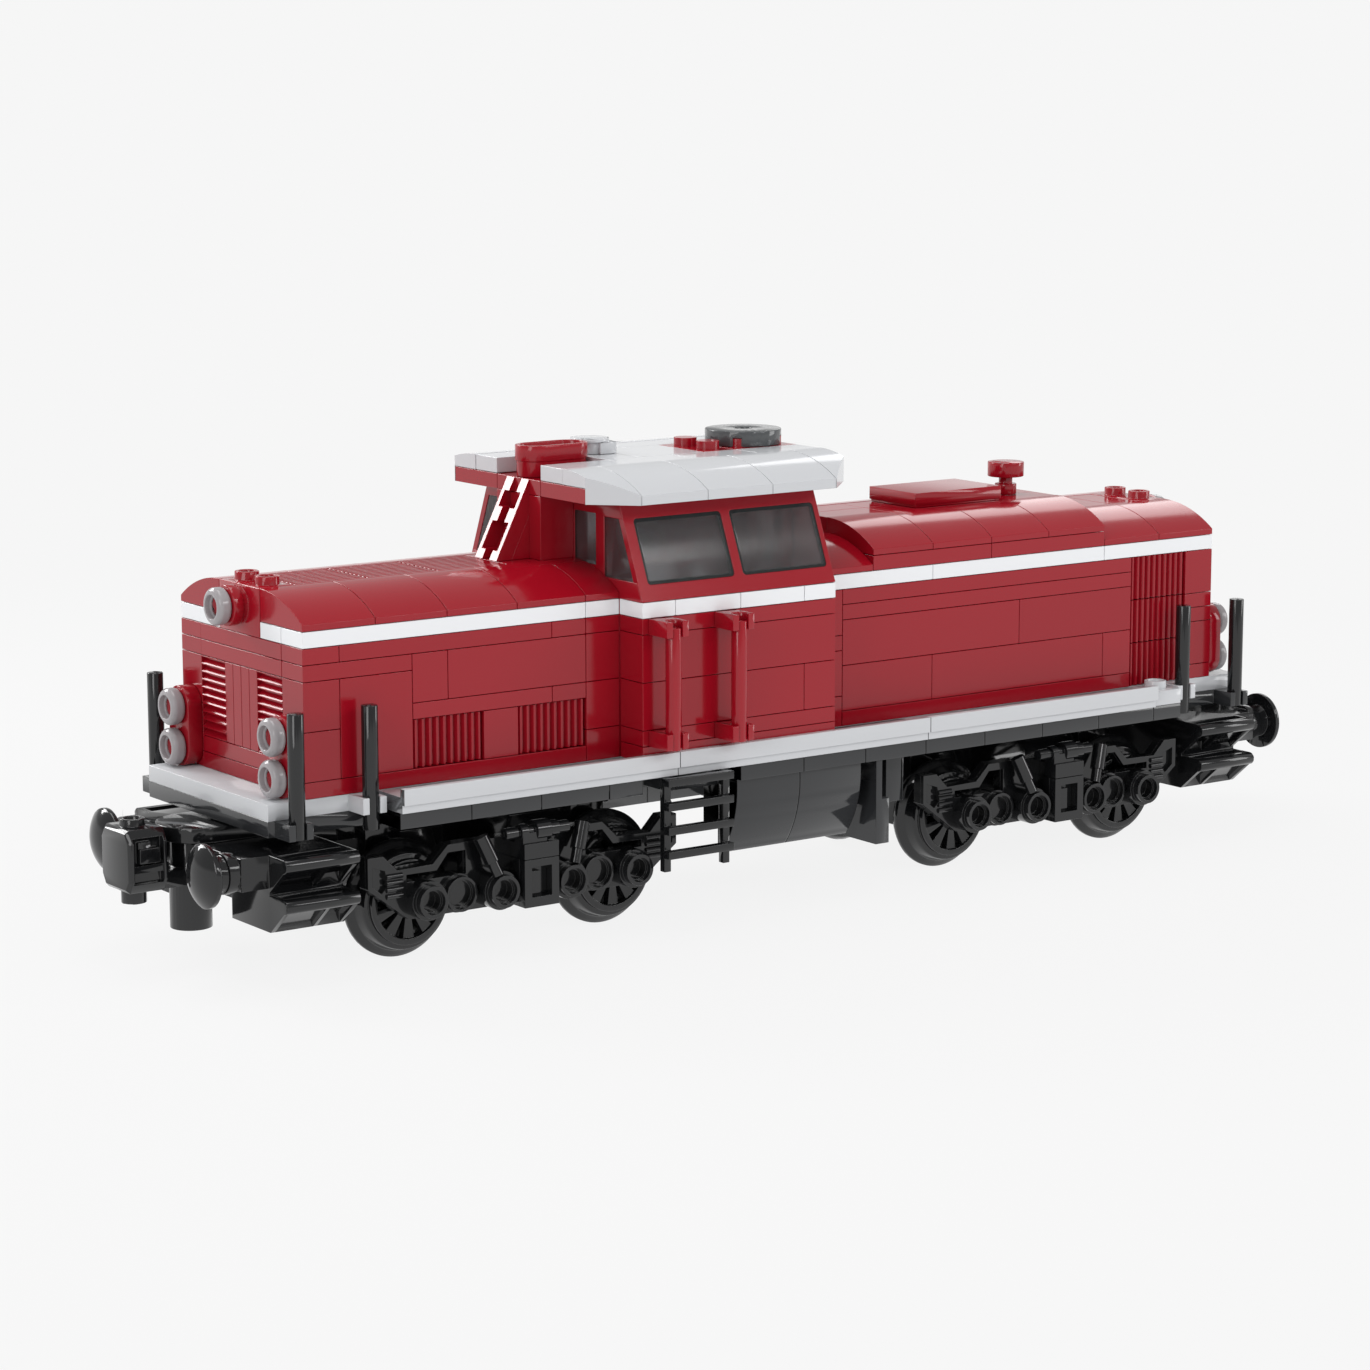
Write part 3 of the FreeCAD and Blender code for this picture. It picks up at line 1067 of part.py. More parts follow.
def coupler_recess():
    """Recess in the +Y side of the magnet block, and the bars that stand in it."""
    x0, x1 = COUPLER_BACK + COUPLER_RECESS_MARGIN, COUPLER_SIDE_X - COUPLER_RECESS_MARGIN / 2
    top = COUPLER_TOP - COUPLER_RECESS_DROP
    floor = COUPLER_HALF_W - COUPLER_RECESS_DEPTH
    recess = box((x0, x1), (floor, COUPLER_HALF_W + OVERCUT), (top - COUPLER_RECESS_H, top))
    bars = []
    for (start, end), (upper, lower), depth in COUPLER_BARS:
        along = (x0 + start * (x1 - x0), x0 + end * (x1 - x0))
        bars.append(box(along, (floor, floor + depth * COUPLER_RECESS_DEPTH),
                        (top - lower * COUPLER_RECESS_H, top - upper * COUPLER_RECESS_H)))
    return recess, bars


def coupler_block():
    """Magnet block: barrel-shaped with a bevelled face, barred recesses and a stub above and below."""
    block = Part.makeLoft([coupler_section(COUPLER_BACK, 0), coupler_section(COUPLER_SIDE_X, 0),
                           coupler_section(COUPLER_FRONT, COUPLER_TAPER)], True, True)
    recess, bars = coupler_recess()
    block = cut(block, with_mirror([recess]))
    stub = upright(COUPLER_STUB_R, COUPLER_CENTRE_X, 0,
                   (COUPLER_BOTTOM - COUPLER_STUB_FALL, COUPLER_TOP + COUPLER_STUB_RISE))
    mouth = upright(COUPLER_STUB_HOLE_R, COUPLER_CENTRE_X, 0,
                    (COUPLER_TOP, COUPLER_TOP + COUPLER_STUB_RISE + OVERCUT))
    return fuse([block, stub] + with_mirror(bars)).cut(mouth)


def coupler():
    """Coupler of the +X end on the tube that turns about the tongue's pin."""
    arm = box((COUPLER_PIVOT_X, COUPLER_BACK), (-STUD / 2, STUD / 2), (COUPLER_BOTTOM, COUPLER_BOTTOM + PLATE))
    tube = upright(PIVOT_TUBE_R, COUPLER_PIVOT_X, 0, (PIVOT_TUBE_BOTTOM, PIVOT_RING_TOP))
    neck = upright(STUD / 2, COUPLER_PIVOT_X, 0, (PIVOT_RING_TOP, BOGIE_TOP - SEAT_GAP))
    bore = upright(PIVOT_PIN_R + RUNNING_CLEARANCE, COUPLER_PIVOT_X, 0,
                   (PIVOT_TUBE_BOTTOM - OVERCUT, BOGIE_TOP))
    return fuse([coupler_block(), arm, tube, neck]).cut(bore)


def nodes():
    """Every piece by its node name."""
    near_nose = mirror_x(hood_nose())
    parts = {
        "underframe": underframe(),
        "deck": deck(),
        "running_boards": running_boards(),
        "fuel_tank": fuel_tank(),
        "ladders": ladders(),
        "short_hood_sides": short_hood_sides(),
        "short_hood_nose": near_nose,
        "short_hood_roof": short_hood_roof(),
        "long_hood_sides": long_hood_sides(),
        "long_hood_nose": hood_nose(),
        "long_hood_roof": long_hood_roof(),
        "stripe": stripe(),
        "lamp_housings": lamp_housings(),
        "lamp_rings": lamp_rings(),
        "cab_sides": cab_sides(),
        "cab_end_walls": cab_end_walls(),
        "cab_window_panels": cab_window_panels(),
        "cab_side_glass": cab_side_glass(),
        "cab_end_glass": cab_end_glass(),
        "cab_interior": cab_interior(),
        "cab_roof_plate": cab_roof_plate(),
        "cab_roof": cab_roof(),
        "exhaust_duct": exhaust_duct(),
        "exhaust_stack": exhaust_stack(),
        "roof_fan": roof_fan(),
        "roof_cap": roof_cap(),
        "hood_hatch": hood_hatch(),
        "horn": horn(),
        "corner_posts": corner_posts(),
        "grab_rails": grab_rails(),
    }
    carried = {"bogie_frame": bogie_frame(), "side_frames": side_frames(),
               "end_platform": end_platform(), "coupler": coupler()}
    for name, shape in carried.items():
        parts[name + "_far"] = shape
        parts[name + "_near"] = mirror_x(shape)
    axle_places = [end * BOGIE_X + half * WHEELBASE / 2 for end in (-1, 1) for half in (-1, 1)]
    for number, x in enumerate(axle_places, start=1):
        parts[f"wheels_{number}"] = wheels(x)
        parts[f"axle_{number}"] = axle(x)
    return parts


os.makedirs("parts", exist_ok=True)
for node, shape in nodes().items():
    shape.exportStep(f"parts/{node}.step")
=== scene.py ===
import logging
import math
from collections.abc import Iterable
from dataclasses import dataclass, field
from enum import Enum
from itertools import pairwise

import bmesh
import bpy
from mathutils import Matrix, Vector

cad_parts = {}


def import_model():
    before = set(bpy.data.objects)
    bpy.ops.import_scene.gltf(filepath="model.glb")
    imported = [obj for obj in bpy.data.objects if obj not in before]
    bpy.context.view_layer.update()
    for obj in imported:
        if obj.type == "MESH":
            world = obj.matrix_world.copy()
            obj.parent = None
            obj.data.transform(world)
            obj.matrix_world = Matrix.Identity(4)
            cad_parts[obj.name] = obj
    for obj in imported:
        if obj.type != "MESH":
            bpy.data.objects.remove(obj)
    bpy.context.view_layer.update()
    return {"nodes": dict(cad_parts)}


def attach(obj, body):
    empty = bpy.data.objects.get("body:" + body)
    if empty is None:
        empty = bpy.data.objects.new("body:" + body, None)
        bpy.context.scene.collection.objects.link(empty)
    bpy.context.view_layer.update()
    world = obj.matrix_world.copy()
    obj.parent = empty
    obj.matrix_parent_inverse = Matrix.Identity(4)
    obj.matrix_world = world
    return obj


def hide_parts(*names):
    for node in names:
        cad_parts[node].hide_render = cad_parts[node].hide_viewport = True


# Looks of a brick-built toy diesel locomotive. Sizes are in millimetres and turned into metres
# where a mesh is made or a joint width is fed to a material. The sizes of the studio, of the bumps
# and of the node groups' own noise are in metres.

log = logging.getLogger("locomotive")

MM = 0.001
STUD = 8.0
PLATE = 3.2
BRICK = 3 * PLATE
STUD_R = 2.4
STUD_H = 1.7
STUD_SUNK = 0.3
STUD_STEPS = 32
SEAM = 0.12
DECK_TOP = 11 * PLATE
STRIPE_FOOT = DECK_TOP + 3 * BRICK
ROOF_FOOT = DECK_TOP + 10 * PLATE
HOOD_END = 14.5 * STUD
HOOD_HALF = 3 * STUD
CAB_HALF = 4 * STUD
BOGIE_X = 8.5 * STUD
WELD_REACH = 0.001
BEVEL_SEGMENTS = 2
BEVEL_ANGLE = 30

Span = tuple[float, float]
Pair = tuple[float, float]
Point = tuple[float, float, float]
Ring = list[bmesh.types.BMVert]
Socket = bpy.types.NodeSocket
Sockets = bpy.types.bpy_prop_collection
Feeds = dict[str | int, float | Point | Socket]


class Axis(Enum):
    """Direction that an outline is pushed along or a profile is turned about."""

    X = 0
    Y = 1
    Z = 2

    def point(self, along: float, pair: Pair) -> Point:
        """Point at a distance along the axis, with its two other values in the order X, Y, Z."""
        return (*pair[:self.value], along, *pair[self.value:])


class Repeat(Enum):
    """Signs of X and Y for each mirrored copy of a piece about the middle planes."""

    ONE = ()
    SIDES = ((1, -1),)
    ENDS = ((-1, 1),)


def studs(*counts: float) -> tuple[float, ...]:
    """Lengths in millimetres of numbers of studs."""
    return tuple(STUD * count for count in counts)


def inset(span: Span, by: float = SEAM / 2) -> Span:
    """Span that is shorter by the same length at both ends."""
    return span[0] + by, span[1] - by


def arc(centre: Pair, radius: float, start: float, end: float, steps: int) -> list[Pair]:
    """Points along an arc.

    Args:
        centre: Middle of the arc.
        radius: Radius of the arc.
        start: First angle in degrees.
        end: Last angle in degrees.
        steps: Number of straight parts.

    Returns:
        Points from the first angle to the last.
    """
    angles = [math.radians(start + (end - start) * index / steps) for index in range(steps + 1)]
    return [(centre[0] + radius * math.cos(angle), centre[1] + radius * math.sin(angle)) for angle in angles]


def rounded_rectangle(x: Span, z: Span, radius: float, steps: int = 4) -> list[Pair]:
    """Rectangle with round corners.

    Args:
        x: Lowest and highest first coordinate.
        z: Lowest and highest second coordinate.
        radius: Radius of the corners.
        steps: Straight parts in each corner.

    Returns:
        Points once round, counter-clockwise from the lower right corner.
    """
    (left, right), (low, high) = inset(x, radius), inset(z, radius)
    corners = (((right, low), -90), ((right, high), 0), ((left, high), 90), ((left, low), 180))
    return [point for centre, angle in corners for point in arc(centre, radius, angle, angle + 90, steps)]


@dataclass(frozen=True)
class Flute:
    """Upright ribs of a grooved brick: sharp-backed ridges, a little behind the wall."""

    pitch: float = STUD / 5
    tip: float = 0.20
    foot: float = 0.68
    recess: float = 0.35
    depth: float = 1.2

    def outline(self, x: Span, surface: float, back: float) -> list[Pair]:
        """Outline of a grooved brick, seen along its ribs.

        Args:
            x: Start and end of the brick.
            surface: Level of the wall's outer face.
            back: Level of the brick's inner face.

        Returns:
            Points once round.
        """
        inward = math.copysign(1.0, back - surface)
        top, floor = surface + inward * self.recess, surface + inward * self.depth
        start, end = inset(x)
        points = [(start, floor)]
        for index in range(round((x[1] - x[0]) / self.pitch)):
            middle = x[0] + self.pitch * (index + 0.5)
            points += [(middle - self.foot, floor), (middle - self.tip, top),
                       (middle + self.tip, top), (middle + self.foot, floor)]
        return points + [(end, floor), (end, back), (start, back)]


@dataclass(frozen=True)
class Slat:
    """Level slats of a louvred brick, each sloping up and inward from its lip."""

    pitch: float = STUD / 5
    lip: float = 0.22
    slope_rise: float = 0.85
    depth: float = 1.0

    def outline(self, z: Span, surface: float, back: float) -> list[Pair]:
        """Section of a louvred brick, seen along its slats.

        Args:
            z: Lowest and highest level of the brick.
            surface: Level of its outer face.
            back: Level of its inner face.

        Returns:
            Points (level, depth) once round.
        """
        floor = surface + math.copysign(self.depth, back - surface)
        start, end = inset(z)
        count = round((z[1] - z[0]) / self.pitch)
        pitch = (end - start - self.lip) / count
        points = [(start, surface)]
        for index in range(count):
            lip, ceiling = start + pitch * index + self.lip, start + pitch * (index + 1)
            points += [(lip, surface), (lip + self.slope_rise, floor), (ceiling, floor), (ceiling, surface)]
        return points + [(end, surface), (end, back), (start, back)]


@dataclass
class Moulding:
    """Mesh of one piece, gathered in millimetres from blocks, pushed outlines and turned profiles."""

    name: str
    body: str = "chassis"
    mesh: bmesh.types.BMesh = field(default_factory=bmesh.new)

    def ring(self, points: Iterable[Point]) -> Ring:
        """Adds loose points."""
        return [self.mesh.verts.new(point) for point in points]

    def band(self, first: Ring, second: Ring, start: int = 0) -> None:
        """Joins two rings by faces; a ring of a single point makes a fan.

        Args:
            first: Points of one ring.
            second: Points of the other ring.
            start: Place in the rings where the first face is made.
        """
        for index in range(start, start + max(len(first), len(second))):
            places = ((first, index), (first, index + 1), (second, index + 1), (second, index))
            self.mesh.faces.new(list(dict.fromkeys(ring[place % len(ring)] for ring, place in places)))

    def loft(self, rings: list[Ring]) -> None:
        """Joins each ring to the next one, and the last to the first.

        Args:
            rings: Rings in their order; two rings of a single point aren't joined.
        """
        for ring, after in zip(rings, rings[1:] + rings[:1]):
            if len(ring) + len(after) > 2:
                self.band(ring, after)

    def close(self, low: Ring, high: Ring, start: int = 0) -> None:
        """Closes two rings by a face each and joins them by a band.

        Args:
            low: Points of one ring.
            high: Points of the other ring.
            start: Place in the rings where the band starts.
        """
        self.mesh.faces.new(low)
        self.mesh.faces.new(high)
        self.band(low, high, start)

    def push(self, outline: list[Pair], axis: Axis, span: Span) -> None:
        """Pushes a closed outline along an axis.

        Args:
            outline: Points in the two other axes, in the order X, Y, Z.
            axis: Direction of the push.
            span: Start and end along that direction.
        """
        self.close(*(self.ring(axis.point(along, pair) for pair in outline) for along in span))

    def block(self, x: Span, y: Span, z: Span) -> None:
        """Adds a box between two X, two Y and two Z values."""
        self.push([(x[0], y[0]), (x[1], y[0]), (x[1], y[1]), (x[0], y[1])], Axis.Z, z)

    def brick(self, x: Span, y: Span, z: Span, flush: Axis | None = None) -> None:
        """Adds a box, half a seam smaller on each side than its place, except along the flush axis."""
        self.block(*(span if axis is flush else inset(span) for axis, span in zip(Axis, (x, y, z))))

    def grid(self, xs: Iterable[float], ys: Iterable[float], z: Span, flush: Axis | None = None) -> None:
        """Adds bricks side by side.

        Args:
            xs: Joints along X.
            ys: Joints along Y.
            z: Lowest and highest level.
            flush: Axis along which the bricks fill their place.
        """
        for x in pairwise(xs):
            for y in pairwise(ys):
                self.brick(x, y, z, flush)

    def turn(self, profile: list[Pair], centre: Point, axis: Axis, steps: int = 40) -> None:
        """Turns a closed profile about an axis.

        Args:
            profile: Points as distance along the axis and radius; radius 0 is a point on the axis.
            centre: Place on the axis that the distances count from.
            axis: Direction of the axis.
            steps: Number of straight parts round it.
        """
        rings = []
        for along, radius in profile:
            angles = [2 * math.pi * index / steps for index in range(steps if radius > 0 else 1)]
            circle = [axis.point(along, (radius * math.cos(angle), radius * math.sin(angle)))
                      for angle in angles]
            rings.append(self.ring(tuple(map(sum, zip(centre, point))) for point in circle))
        self.loft(rings)

    def rod(self, start: Point, end: Point, radius: float, steps: int = 24) -> None:
        """Adds a round rod between two points.

        Args:
            start: Middle of one end.
            end: Middle of the other end.
            radius: Radius of the rod.
            steps: Number of straight parts round it.
        """
        lean = (Vector(end) - Vector(start)).to_track_quat("Z", "Y")
        circle = [lean @ Vector((x, y, 0)) for x, y in arc((0, 0), radius, 0, 360, steps)[:-1]]
        self.close(*(self.ring(Vector(middle) + point for point in circle) for middle in (start, end)), -1)

    def stud(self, x: float, y: float, z: float) -> None:
        """Adds a stud that stands on level z."""
        profile = [(-STUD_SUNK, 0.0), (-STUD_SUNK, STUD_R), (STUD_H, STUD_R), (STUD_H, 0.0)]
        self.turn(profile, (x, y, z), Axis.Z, STUD_STEPS)

    def pierced(self, outline: list[Point], holes: list[list[Point]], depth: float,
                axis: Axis = Axis.Y) -> None:
        """Adds a flat panel, with or without holes, pushed along an axis.

        Args:
            outline: Corners of the panel.
            holes: Loops of points inside it.
            depth: Distance from the front face to the back face.
            axis: Direction of that distance.
        """
        levels = []
        for shift in (Vector(), Vector(axis.point(depth, (0, 0)))):
            loops = [self.ring(Vector(point) + shift for point in loop) for loop in (outline, *holes)]
            if holes:
                ends = [pair for loop in loops for pair in zip(loop[-1:] + loop[:-1], loop)]
                edges = [self.mesh.edges.new(pair) for pair in ends]
                bmesh.ops.triangle_fill(self.mesh, edges=edges, use_beauty=True)
            else:
                self.mesh.faces.new(loops[0])
            levels.append(loops)
        for front, back in zip(*levels):
            self.band(front, back, -1)

    def make(self, finish: "Finish", *replaces: str, repeat: Repeat = Repeat.ONE, edge: float = 0.10) -> None:
        """Turns the gathered mesh into a dressed object with rounded edges.

        Args:
            finish: Finish of the piece.
            replaces: CAD nodes that the piece stands for.
            repeat: Copies about the middle planes.
            edge: Width of the rounded edges.
        """
        source = [*self.mesh.verts, *self.mesh.edges, *self.mesh.faces]
        for signs in repeat.value:
            copy = bmesh.ops.duplicate(self.mesh, geom=source)["geom"]
            verts = [item for item in copy if isinstance(item, bmesh.types.BMVert)]
            bmesh.ops.transform(self.mesh, matrix=Matrix.Diagonal((*signs, 1, 1)), verts=verts)
        bmesh.ops.transform(self.mesh, matrix=Matrix.Scale(MM, 4), verts=self.mesh.verts)
        bmesh.ops.recalc_face_normals(self.mesh, faces=self.mesh.faces)
        data = bpy.data.meshes.new(self.name)
        self.mesh.to_mesh(data)
        self.mesh.free()
        data.materials.append(finish.material())
        piece = bpy.data.objects.new(self.name, data)
        bpy.context.scene.collection.objects.link(piece)
        soften(piece, edge)
        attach(piece, self.body)
        if replaces:
            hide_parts(*replaces)
        log.info("made %s", self.name)


def soften(piece: bpy.types.Object, edge: float, weld: bool = False) -> None:
    """Rounds the sharp edges of a piece and shades it smoothly.

    Args:
        piece: Object to round.
        edge: Width of the rounded edge in millimetres.
        weld: Whether doubled points are joined first, as on a CAD node.
    """
    piece.data.polygons.foreach_set("use_smooth", [True] * len(piece.data.polygons))
    if weld:
        piece.modifiers.new("joined points", "WELD").merge_threshold = WELD_REACH * MM
    bevel = piece.modifiers.new("rounded edges", "BEVEL")
    bevel.width = edge * MM
    bevel.segments = BEVEL_SEGMENTS
    bevel.limit_method = "ANGLE"
    bevel.angle_limit = math.radians(BEVEL_ANGLE)
    bevel.use_clamp_overlap = not weld
    bevel.harden_normals = True


@dataclass
class Graph:
    """Short way to add linked nodes to one node tree."""

    tree: bpy.types.NodeTree

    def feed(self, node: bpy.types.Node, feeds: Feeds) -> None:
        """Sets or links inputs of a node.

        Args:
            node: Node to feed.
            feeds: Constant or feeding socket of each input, by its name or number.
        """
        for label, value in feeds.items():
            if isinstance(value, Socket):
                self.tree.links.new(value, node.inputs[label])
            else:
                node.inputs[label].default_value = value

    def add(self, kind: str, feeds: Feeds, **settings: object) -> Sockets:
        """Adds a node.

        Args:
            kind: Type of the node.
            feeds: Constant or feeding socket of each input, by its name or number.
            settings: Properties of the node.

        Returns:
            Its outputs.
        """
        node = self.tree.nodes.new("ShaderNode" + kind)
        for label, value in settings.items():
            setattr(node, label, value)
        self.feed(node, feeds)
        return node.outputs

    def math(self, operation: str, *values: float | Socket) -> Socket:
        """Output of a Math node that is fed with the values in their order."""
        return self.add("Math", dict(enumerate(values)), operation=operation)[0]

    def scale(self, colour: Socket, factor: Socket) -> Socket:
        """Colour times a factor."""
        return self.add("VectorMath", {0: colour, "Scale": factor}, operation="SCALE")[0]

    def place(self) -> Socket:
        """Coordinates in the piece's own space."""
        return self.add("TexCoord", {})["Object"]

    def noise(self, scale: float, detail: float) -> Socket:
        """Noise over the piece's own space, at a scale and with a detail."""
        return self.add("TexNoise", {"Vector": self.place(), "Scale": scale, "Detail": detail})["Fac"]

    def ramp(self, value: Socket, start: tuple, end: tuple) -> Socket:
        """Takes a value smoothly from one span to another.

        Args:
            value: Value to take over.
            start: Span of the value.
            end: Span of the result.

        Returns:
            The result.
        """
        feeds = dict(zip(("Value", "From Min", "From Max", "To Min", "To Max"), (value, *start, *end)))
        return self.add("MapRange", feeds, interpolation_type="SMOOTHSTEP")["Result"]


class Effect:
    """Node group with named sockets that several materials share, built once."""

    name: str
    inputs: dict[str, float]
    outputs: tuple[str, ...]

    def tree(self) -> bpy.types.NodeTree:
        """Finds the group or builds it.

        Returns:
            The group.
        """
        group = bpy.data.node_groups.get(self.name)
        if group:
            return group
        group = bpy.data.node_groups.new(self.name, "ShaderNodeTree")
        for way, labels in (("INPUT", self.inputs), ("OUTPUT", self.outputs)):
            for label in labels:
                kind = "NodeSocketColor" if label == "Colour" else "NodeSocketFloat"
                socket = group.interface.new_socket(name=label, in_out=way, socket_type=kind)
                if way == "INPUT" and label != "Colour":
                    socket.default_value = self.inputs[label]
        entry, leave = (group.nodes.new("NodeGroup" + way) for way in ("Input", "Output"))
        graph = Graph(group)
        graph.feed(leave, self.fill(graph, entry.outputs))
        return group

    def fill(self, graph: Graph, entry: Sockets) -> Feeds:
        """Adds the nodes between the group's inputs and outputs.

        Args:
            graph: Graph of the group.
            entry: Sockets that bring in the group's inputs.

        Returns:
            Socket that feeds each output.
        """
        raise NotImplementedError


class BatchTone(Effect):
    """Colour that differs a little from brick to brick and clouds slowly across each one."""

    name = "Batch tone"
    inputs = {"Colour": 0.0, "Spread": 0.05}
    outputs = ("Colour",)
    cloud_scale = 45.0
    cloud_detail = 3.0

    def fill(self, graph: Graph, entry: Sockets) -> Feeds:
        """Scales the colour by a step for each brick and a cloud.

        Args:
            graph: Graph of the group.
            entry: Sockets Colour and Spread.

        Returns:
            Socket Colour.
        """
        island = graph.add("NewGeometry", {})["Random Per Island"]
        total = graph.math("ADD", island, graph.noise(self.cloud_scale, self.cloud_detail))
        factor = graph.math("MULTIPLY_ADD", graph.math("SUBTRACT", total, 1.0), entry["Spread"], 1.0)
        return {"Colour": graph.scale(entry["Colour"], factor)}


class SunkJointsWithPaintedShade(Effect):
    """Thin sunk lines across the length of the toy, where one brick of a row meets the next, with painted
    shade in each gap.
    """

    name = "Sunk joints with painted shade"
    inputs = {"Colour": 0.0, "Height": 0.0, "Pitch": 0.016, "Offset": 0.0, "Width": 0.0002}
    outputs = ("Colour", "Height", "Gap shade")
    # Painted shade: share of the colour that the gap keeps.
    slot_shade = 0.1
    slot_depth = 3.0

    def fill(self, graph: Graph, entry: Sockets) -> Feeds:
        """Sinks the surface near each joint and paints shade into the gap: darker colour, no reflection.

        Args:
            graph: Graph of the group.
            entry: Sockets Colour, Height, Pitch, Offset and Width.

        Returns:
            Sockets Colour, Height and Slot.
        """
        along = graph.add("SeparateXYZ", {0: graph.place()})["X"]
        shifted = graph.math("SUBTRACT", along, entry["Offset"])
        away = graph.math("PINGPONG", shifted, graph.math("MULTIPLY", entry["Pitch"], 0.5))
        wall = graph.ramp(away, (0.0, entry["Width"]), (0.0, 1.0))
        shade = graph.add("MapRange", {"Value": wall, "To Min": self.slot_shade})["Result"]
        # Painted shade in the gap: darker colour, and a mask that makes it reflect nothing.
        return {"Colour": graph.scale(entry["Colour"], shade),
                "Height": graph.math("MULTIPLY_ADD", wall, self.slot_depth, entry["Height"]),
                "Gap shade": graph.math("SUBTRACT", 1.0, wall)}


class MouldedSkin(Effect):
    """Polished skin of a moulded brick: uneven gloss, slow ripples and fine handling marks."""

    name = "Moulded skin"
    inputs = {"Roughness": 0.2, "Haze": 0.06, "Ripple": 0.5, "Marks": 0.1}
    outputs = ("Roughness", "Height")
    scales = (160.0, 110.0, 900.0)
    detail = 2.0

    def fill(self, graph: Graph, entry: Sockets) -> Feeds:
        """Adds haze to the roughness, and ripples and marks to the height.

        Args:
            graph: Graph of the group.
            entry: Sockets Roughness, Haze, Ripple and Marks.

        Returns:
            Sockets Roughness and Height.
        """
        haze, ripple, marks = (graph.noise(scale, self.detail) for scale in self.scales)
        ripples = graph.math("MULTIPLY", ripple, entry["Ripple"])
        return {"Roughness": graph.math("MULTIPLY_ADD", haze, entry["Haze"], entry["Roughness"]),
                "Height": graph.math("MULTIPLY_ADD", marks, entry["Marks"], ripples)}


@dataclass(frozen=True)
class Finish:
    """Finish of one material and the slot that it stands for."""

    name: str
    slot: str
    colour: Point

    def material(self) -> bpy.types.Material:
        """Finds the material or builds it.

        Returns:
            The material.
        """
        material = bpy.data.materials.get(self.name)
        if not material:
            material = bpy.data.materials.new(self.name)
            material.use_nodes = True
            self.dress(Graph(material.node_tree), material.node_tree.nodes["Principled BSDF"])
        return material

    def dress(self, graph: Graph, shader: bpy.types.Node) -> None:
        """Feeds the shader.

        Args:
            graph: Graph of the material.
            shader: Its Principled BSDF.
        """
        raise NotImplementedError

    def tone(self, graph: Graph, spread: float) -> Socket:
        """Own colour, with a spread from brick to brick."""
        feeds = {"Colour": (*self.colour, 1), "Spread": spread}
        return graph.add("Group", feeds, node_tree=BatchTone().tree())["Colour"]

    @staticmethod
    def skin(graph: Graph, *values: float) -> Sockets:
        """Outputs of the moulded skin for a roughness, haze, ripple and marks."""
        return graph.add("Group", dict(zip(MouldedSkin.inputs, values)), node_tree=MouldedSkin().tree())


@dataclass(frozen=True)
class Plastic(Finish):
    """Finish of one moulded plastic colour. Joints, with painted shade in them, are in millimetres; pitch 0
    means no joints.
    """

    roughness: float = 0.07
    haze: float = 0.05
    spread: float = 0.05
    ripple: float = 0.15
    marks: float = 0.02
    specular: float = 0.42
    ior: float = 1.53
    bump_strength: float = 0.25
    bump_distance: float = 0.0002
    joint_pitch: float = 0.0
    joint_offset: float = 0.0
    joint_width: float = 0.22

    def dress(self, graph: Graph, shader: bpy.types.Node) -> None:
        """Feeds the shader with tone, skin and joints, the joints with painted shade.

        Args:
            graph: Graph of the material.
            shader: Its Principled BSDF.
        """
        colour = self.tone(graph, self.spread)
        skin = self.skin(graph, self.roughness, self.haze, self.ripple, self.marks)
        height = skin["Height"]
        if self.joint_pitch:
            joints = graph.add("Group", {
                "Colour": colour, "Height": height, "Pitch": self.joint_pitch * MM,
                "Offset": self.joint_offset * MM, "Width": self.joint_width * MM},
                node_tree=SunkJointsWithPaintedShade().tree())
            colour, height = joints["Colour"], joints["Height"]
            # Painted shade: the joints turn metallic and dark, so they reflect nothing.
            graph.feed(shader, {"Metallic": joints["Gap shade"]})
        bump = graph.add("Bump", {"Strength": self.bump_strength, "Distance": self.bump_distance,
                                  "Height": height})["Normal"]
        graph.feed(shader, {"IOR": self.ior, "Specular IOR Level": self.specular, "Base Color": colour,
                            "Roughness": skin["Roughness"], "Normal": bump})


@dataclass(frozen=True)
class SmokeGlass(Finish):
    """Finish of the smoke-tinted clear windows."""

    transmission: float = 0.95
    ior: float = 1.45
    spread: float = 0.03
    surface: tuple[float, ...] = (0.14, 0.08, 0.4, 0.0)

    def dress(self, graph: Graph, shader: bpy.types.Node) -> None:
        """Feeds the shader with tone and skin.

        Args:
            graph: Graph of the material.
            shader: Its Principled BSDF.
        """
        graph.feed(shader, {"Transmission Weight": self.transmission, "IOR": self.ior,
                            "Base Color": self.tone(graph, self.spread),
                            "Roughness": self.skin(graph, *self.surface)["Roughness"]})


@dataclass(frozen=True)
class Metal(Finish):
    """Finish of the plain metal rods."""

    surface: tuple[float, ...] = (0.25, 0.15, 0.1, 0.5)

    def dress(self, graph: Graph, shader: bpy.types.Node) -> None:
        """Feeds the shader with the skin.

        Args:
            graph: Graph of the material.
            shader: Its Principled BSDF.
        """
        graph.feed(shader, {"Metallic": 1.0, "Base Color": (*self.colour, 1),
                            "Roughness": self.skin(graph, *self.surface)["Roughness"]})


RED = Plastic("dark red plastic", "red_plastic", (0.30, 0.004, 0.012), roughness=0.10, spread=0.06)
WHITE = Plastic("white plastic", "white_plastic", (0.80, 0.81, 0.83), spread=0.015)
LIGHT_GREY = Plastic("light grey plastic", "light_grey_plastic", (0.56, 0.57, 0.59), spread=0.02)
